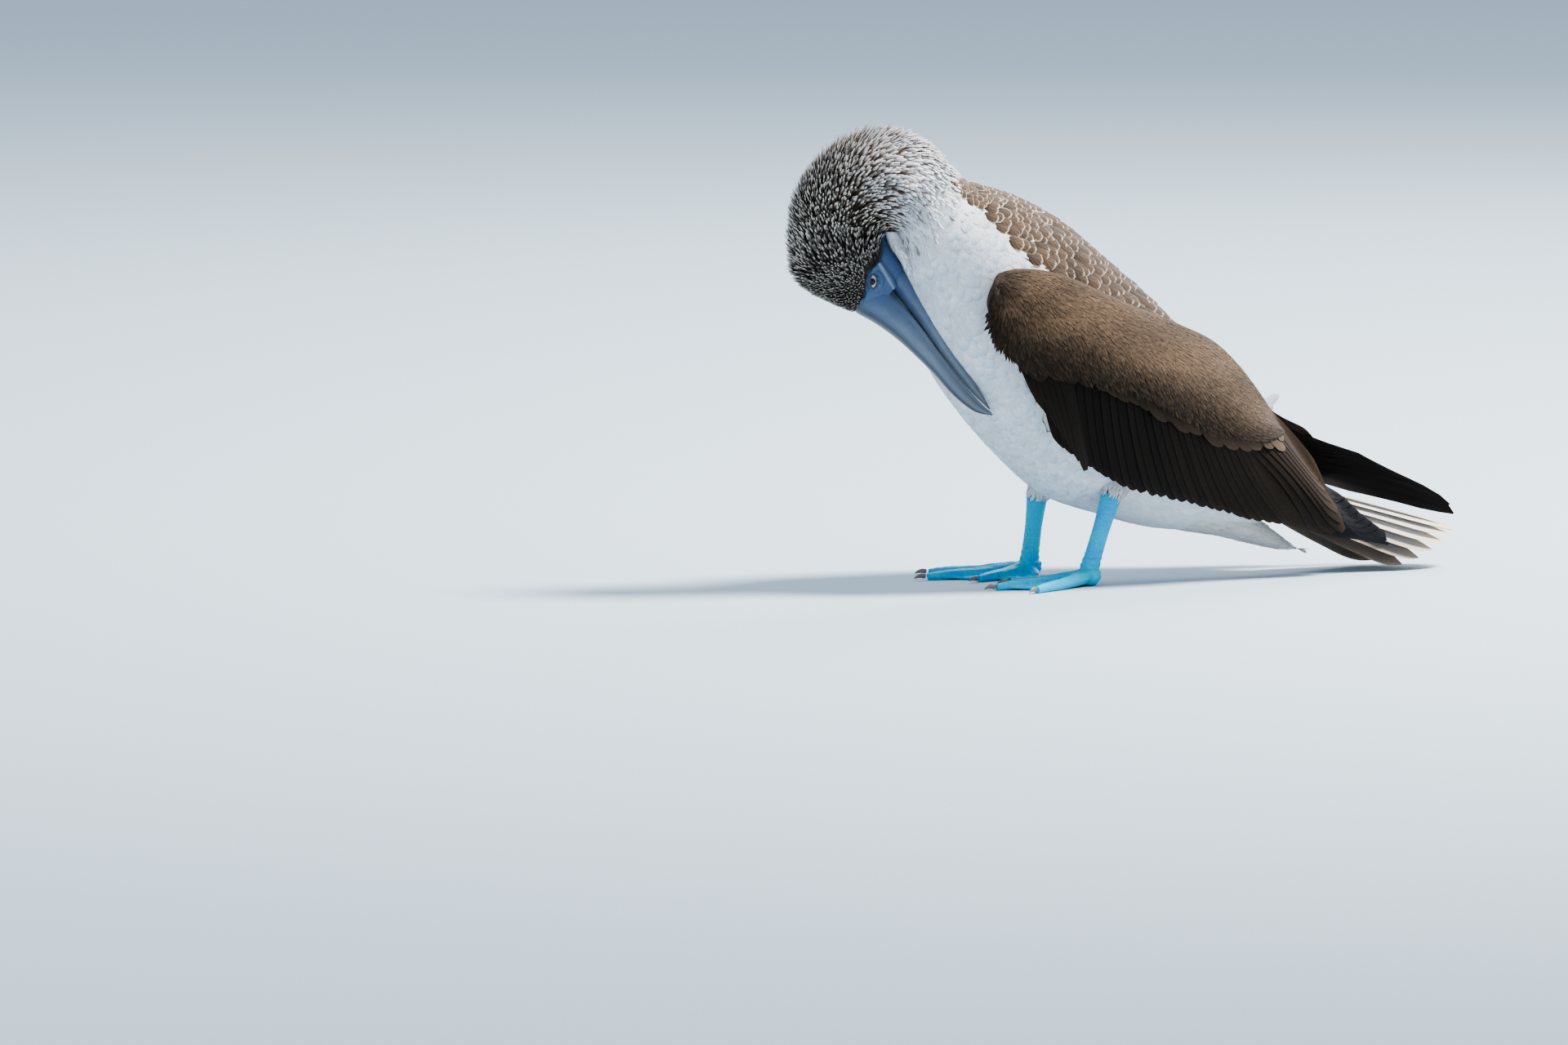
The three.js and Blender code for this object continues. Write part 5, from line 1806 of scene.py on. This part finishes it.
FLOOR_SIZE = 90
SKY, SKY_STRENGTH = (0.68, 0.80, 0.96), 0.8
LIT_SPOT = (-0.05, 0, 0.15)
LAMPS = (  # name, place, size, power and colour
    ("key", (1.6, -0.5, 3.0), 1.0, 340, (1.0, 0.95, 0.88)),
    ("fill", (-2.6, -2.4, 1.3), 2.4, 15, (0.80, 0.89, 1.0)),
    ("rim", (1.8, 2.4, 2.2), 1.6, 80, (1.0, 0.98, 0.95)),
)
FRAME = (1920, 1280)
PIXEL = 0.000545  # metres that one pixel of the frame shows at the bird
FEET_AT = (1300, 712)  # the pixel that shows the origin between the feet


class BOOBY_OT_stage(bpy.types.Operator):
    """Pale floor, soft studio light and the camera"""

    bl_idname = "booby.stage"
    bl_label = "Stage"

    def execute(self, context):
        settings = context.scene.booby_stage
        floor = new_primitive("floor", bpy.ops.mesh.primitive_plane_add, size=FLOOR_SIZE)
        paint = Paint("floor", roughness=0.9, specular=0.1)
        paint.set("Base Color", settings.floor)
        floor.data.materials.append(paint.material)
        self.lights()
        self.camera(settings)
        context.scene.view_settings.look = "AgX - Medium High Contrast"
        return {"FINISHED"}

    def lights(self):
        world = bpy.data.worlds.new("studio")
        world.use_nodes = True
        background = world.node_tree.nodes["Background"]
        background.inputs["Color"].default_value = (*SKY, 1)
        background.inputs["Strength"].default_value = SKY_STRENGTH
        bpy.context.scene.world = world
        for name, place, size, power, colour in LAMPS:
            data = bpy.data.lights.new(name, "AREA")
            data.shape, data.size, data.energy, data.color = "DISK", size, power, colour
            lamp = bpy.data.objects.new(name, data)
            bpy.context.scene.collection.objects.link(lamp)
            lamp.location = place
            lamp.rotation_euler = (Vector(LIT_SPOT) - Vector(place)).to_track_quat("-Z", "Y").to_euler()

    def camera(self, settings):
        data = bpy.data.cameras.new("camera")
        camera = bpy.data.objects.new("camera", data)
        bpy.context.scene.collection.objects.link(camera)
        a, e = settings.azimuth, settings.elevation
        back = Vector((math.sin(a) * math.cos(e), -math.cos(a) * math.cos(e), math.sin(e)))
        right = Vector((math.cos(a), math.sin(a), 0))
        upward = back.cross(right)
        width, height = FRAME
        across, down = FEET_AT[0] - width / 2, FEET_AT[1] - height / 2
        feet = Vector(to_model(array(0, 0, 0)))
        aim = feet - right * across * PIXEL + upward * down * PIXEL
        data.sensor_width = 36
        data.lens = data.sensor_width * settings.distance / (width * PIXEL)
        camera.location = aim + back * settings.distance
        camera.rotation_mode = "QUATERNION"
        camera.rotation_quaternion = (-back).to_track_quat("-Z", "Y")
        bpy.context.scene.camera = camera


STEPS = (
    BOOBY_OT_skin,
    BOOBY_OT_body_feathers,
    BOOBY_OT_head_feathers,
    BOOBY_OT_wings,
    BOOBY_OT_tail,
    BOOBY_OT_bill,
    BOOBY_OT_face,
    BOOBY_OT_feet,
    BOOBY_OT_stage,
)


class BOOBY_PT_panel(bpy.types.Panel):
    """Steps that build the bird"""

    bl_idname = "BOOBY_PT_panel"
    bl_label = "Booby"
    bl_space_type = "VIEW_3D"
    bl_region_type = "UI"
    bl_category = "Booby"

    def draw(self, context):
        for step in STEPS:
            self.layout.operator(step.bl_idname)
        for group in ("booby_plumage", "booby_bare", "booby_stage"):
            box = self.layout.box()
            settings = getattr(context.scene, group)
            for key in settings.bl_rna.properties.keys():
                if key not in ("rna_type", "name"):
                    box.prop(settings, key)


GROUPS = {"booby_plumage": BoobyPlumage, "booby_bare": BoobyBare, "booby_stage": BoobyStage}


def register():
    for cls in (*GROUPS.values(), *STEPS, BOOBY_PT_panel):
        bpy.utils.register_class(cls)
    for name, cls in GROUPS.items():
        setattr(bpy.types.Scene, name, bpy.props.PointerProperty(type=cls))


def unregister():
    for name in GROUPS:
        delattr(bpy.types.Scene, name)
    for cls in (BOOBY_PT_panel, *reversed(STEPS), *reversed(GROUPS.values())):
        bpy.utils.unregister_class(cls)


def main():
    register()
    deselect()
    for step in STEPS:
        group, name = step.bl_idname.split(".")
        getattr(getattr(bpy.ops, group), name)()


if __name__ == "__main__":
    main()
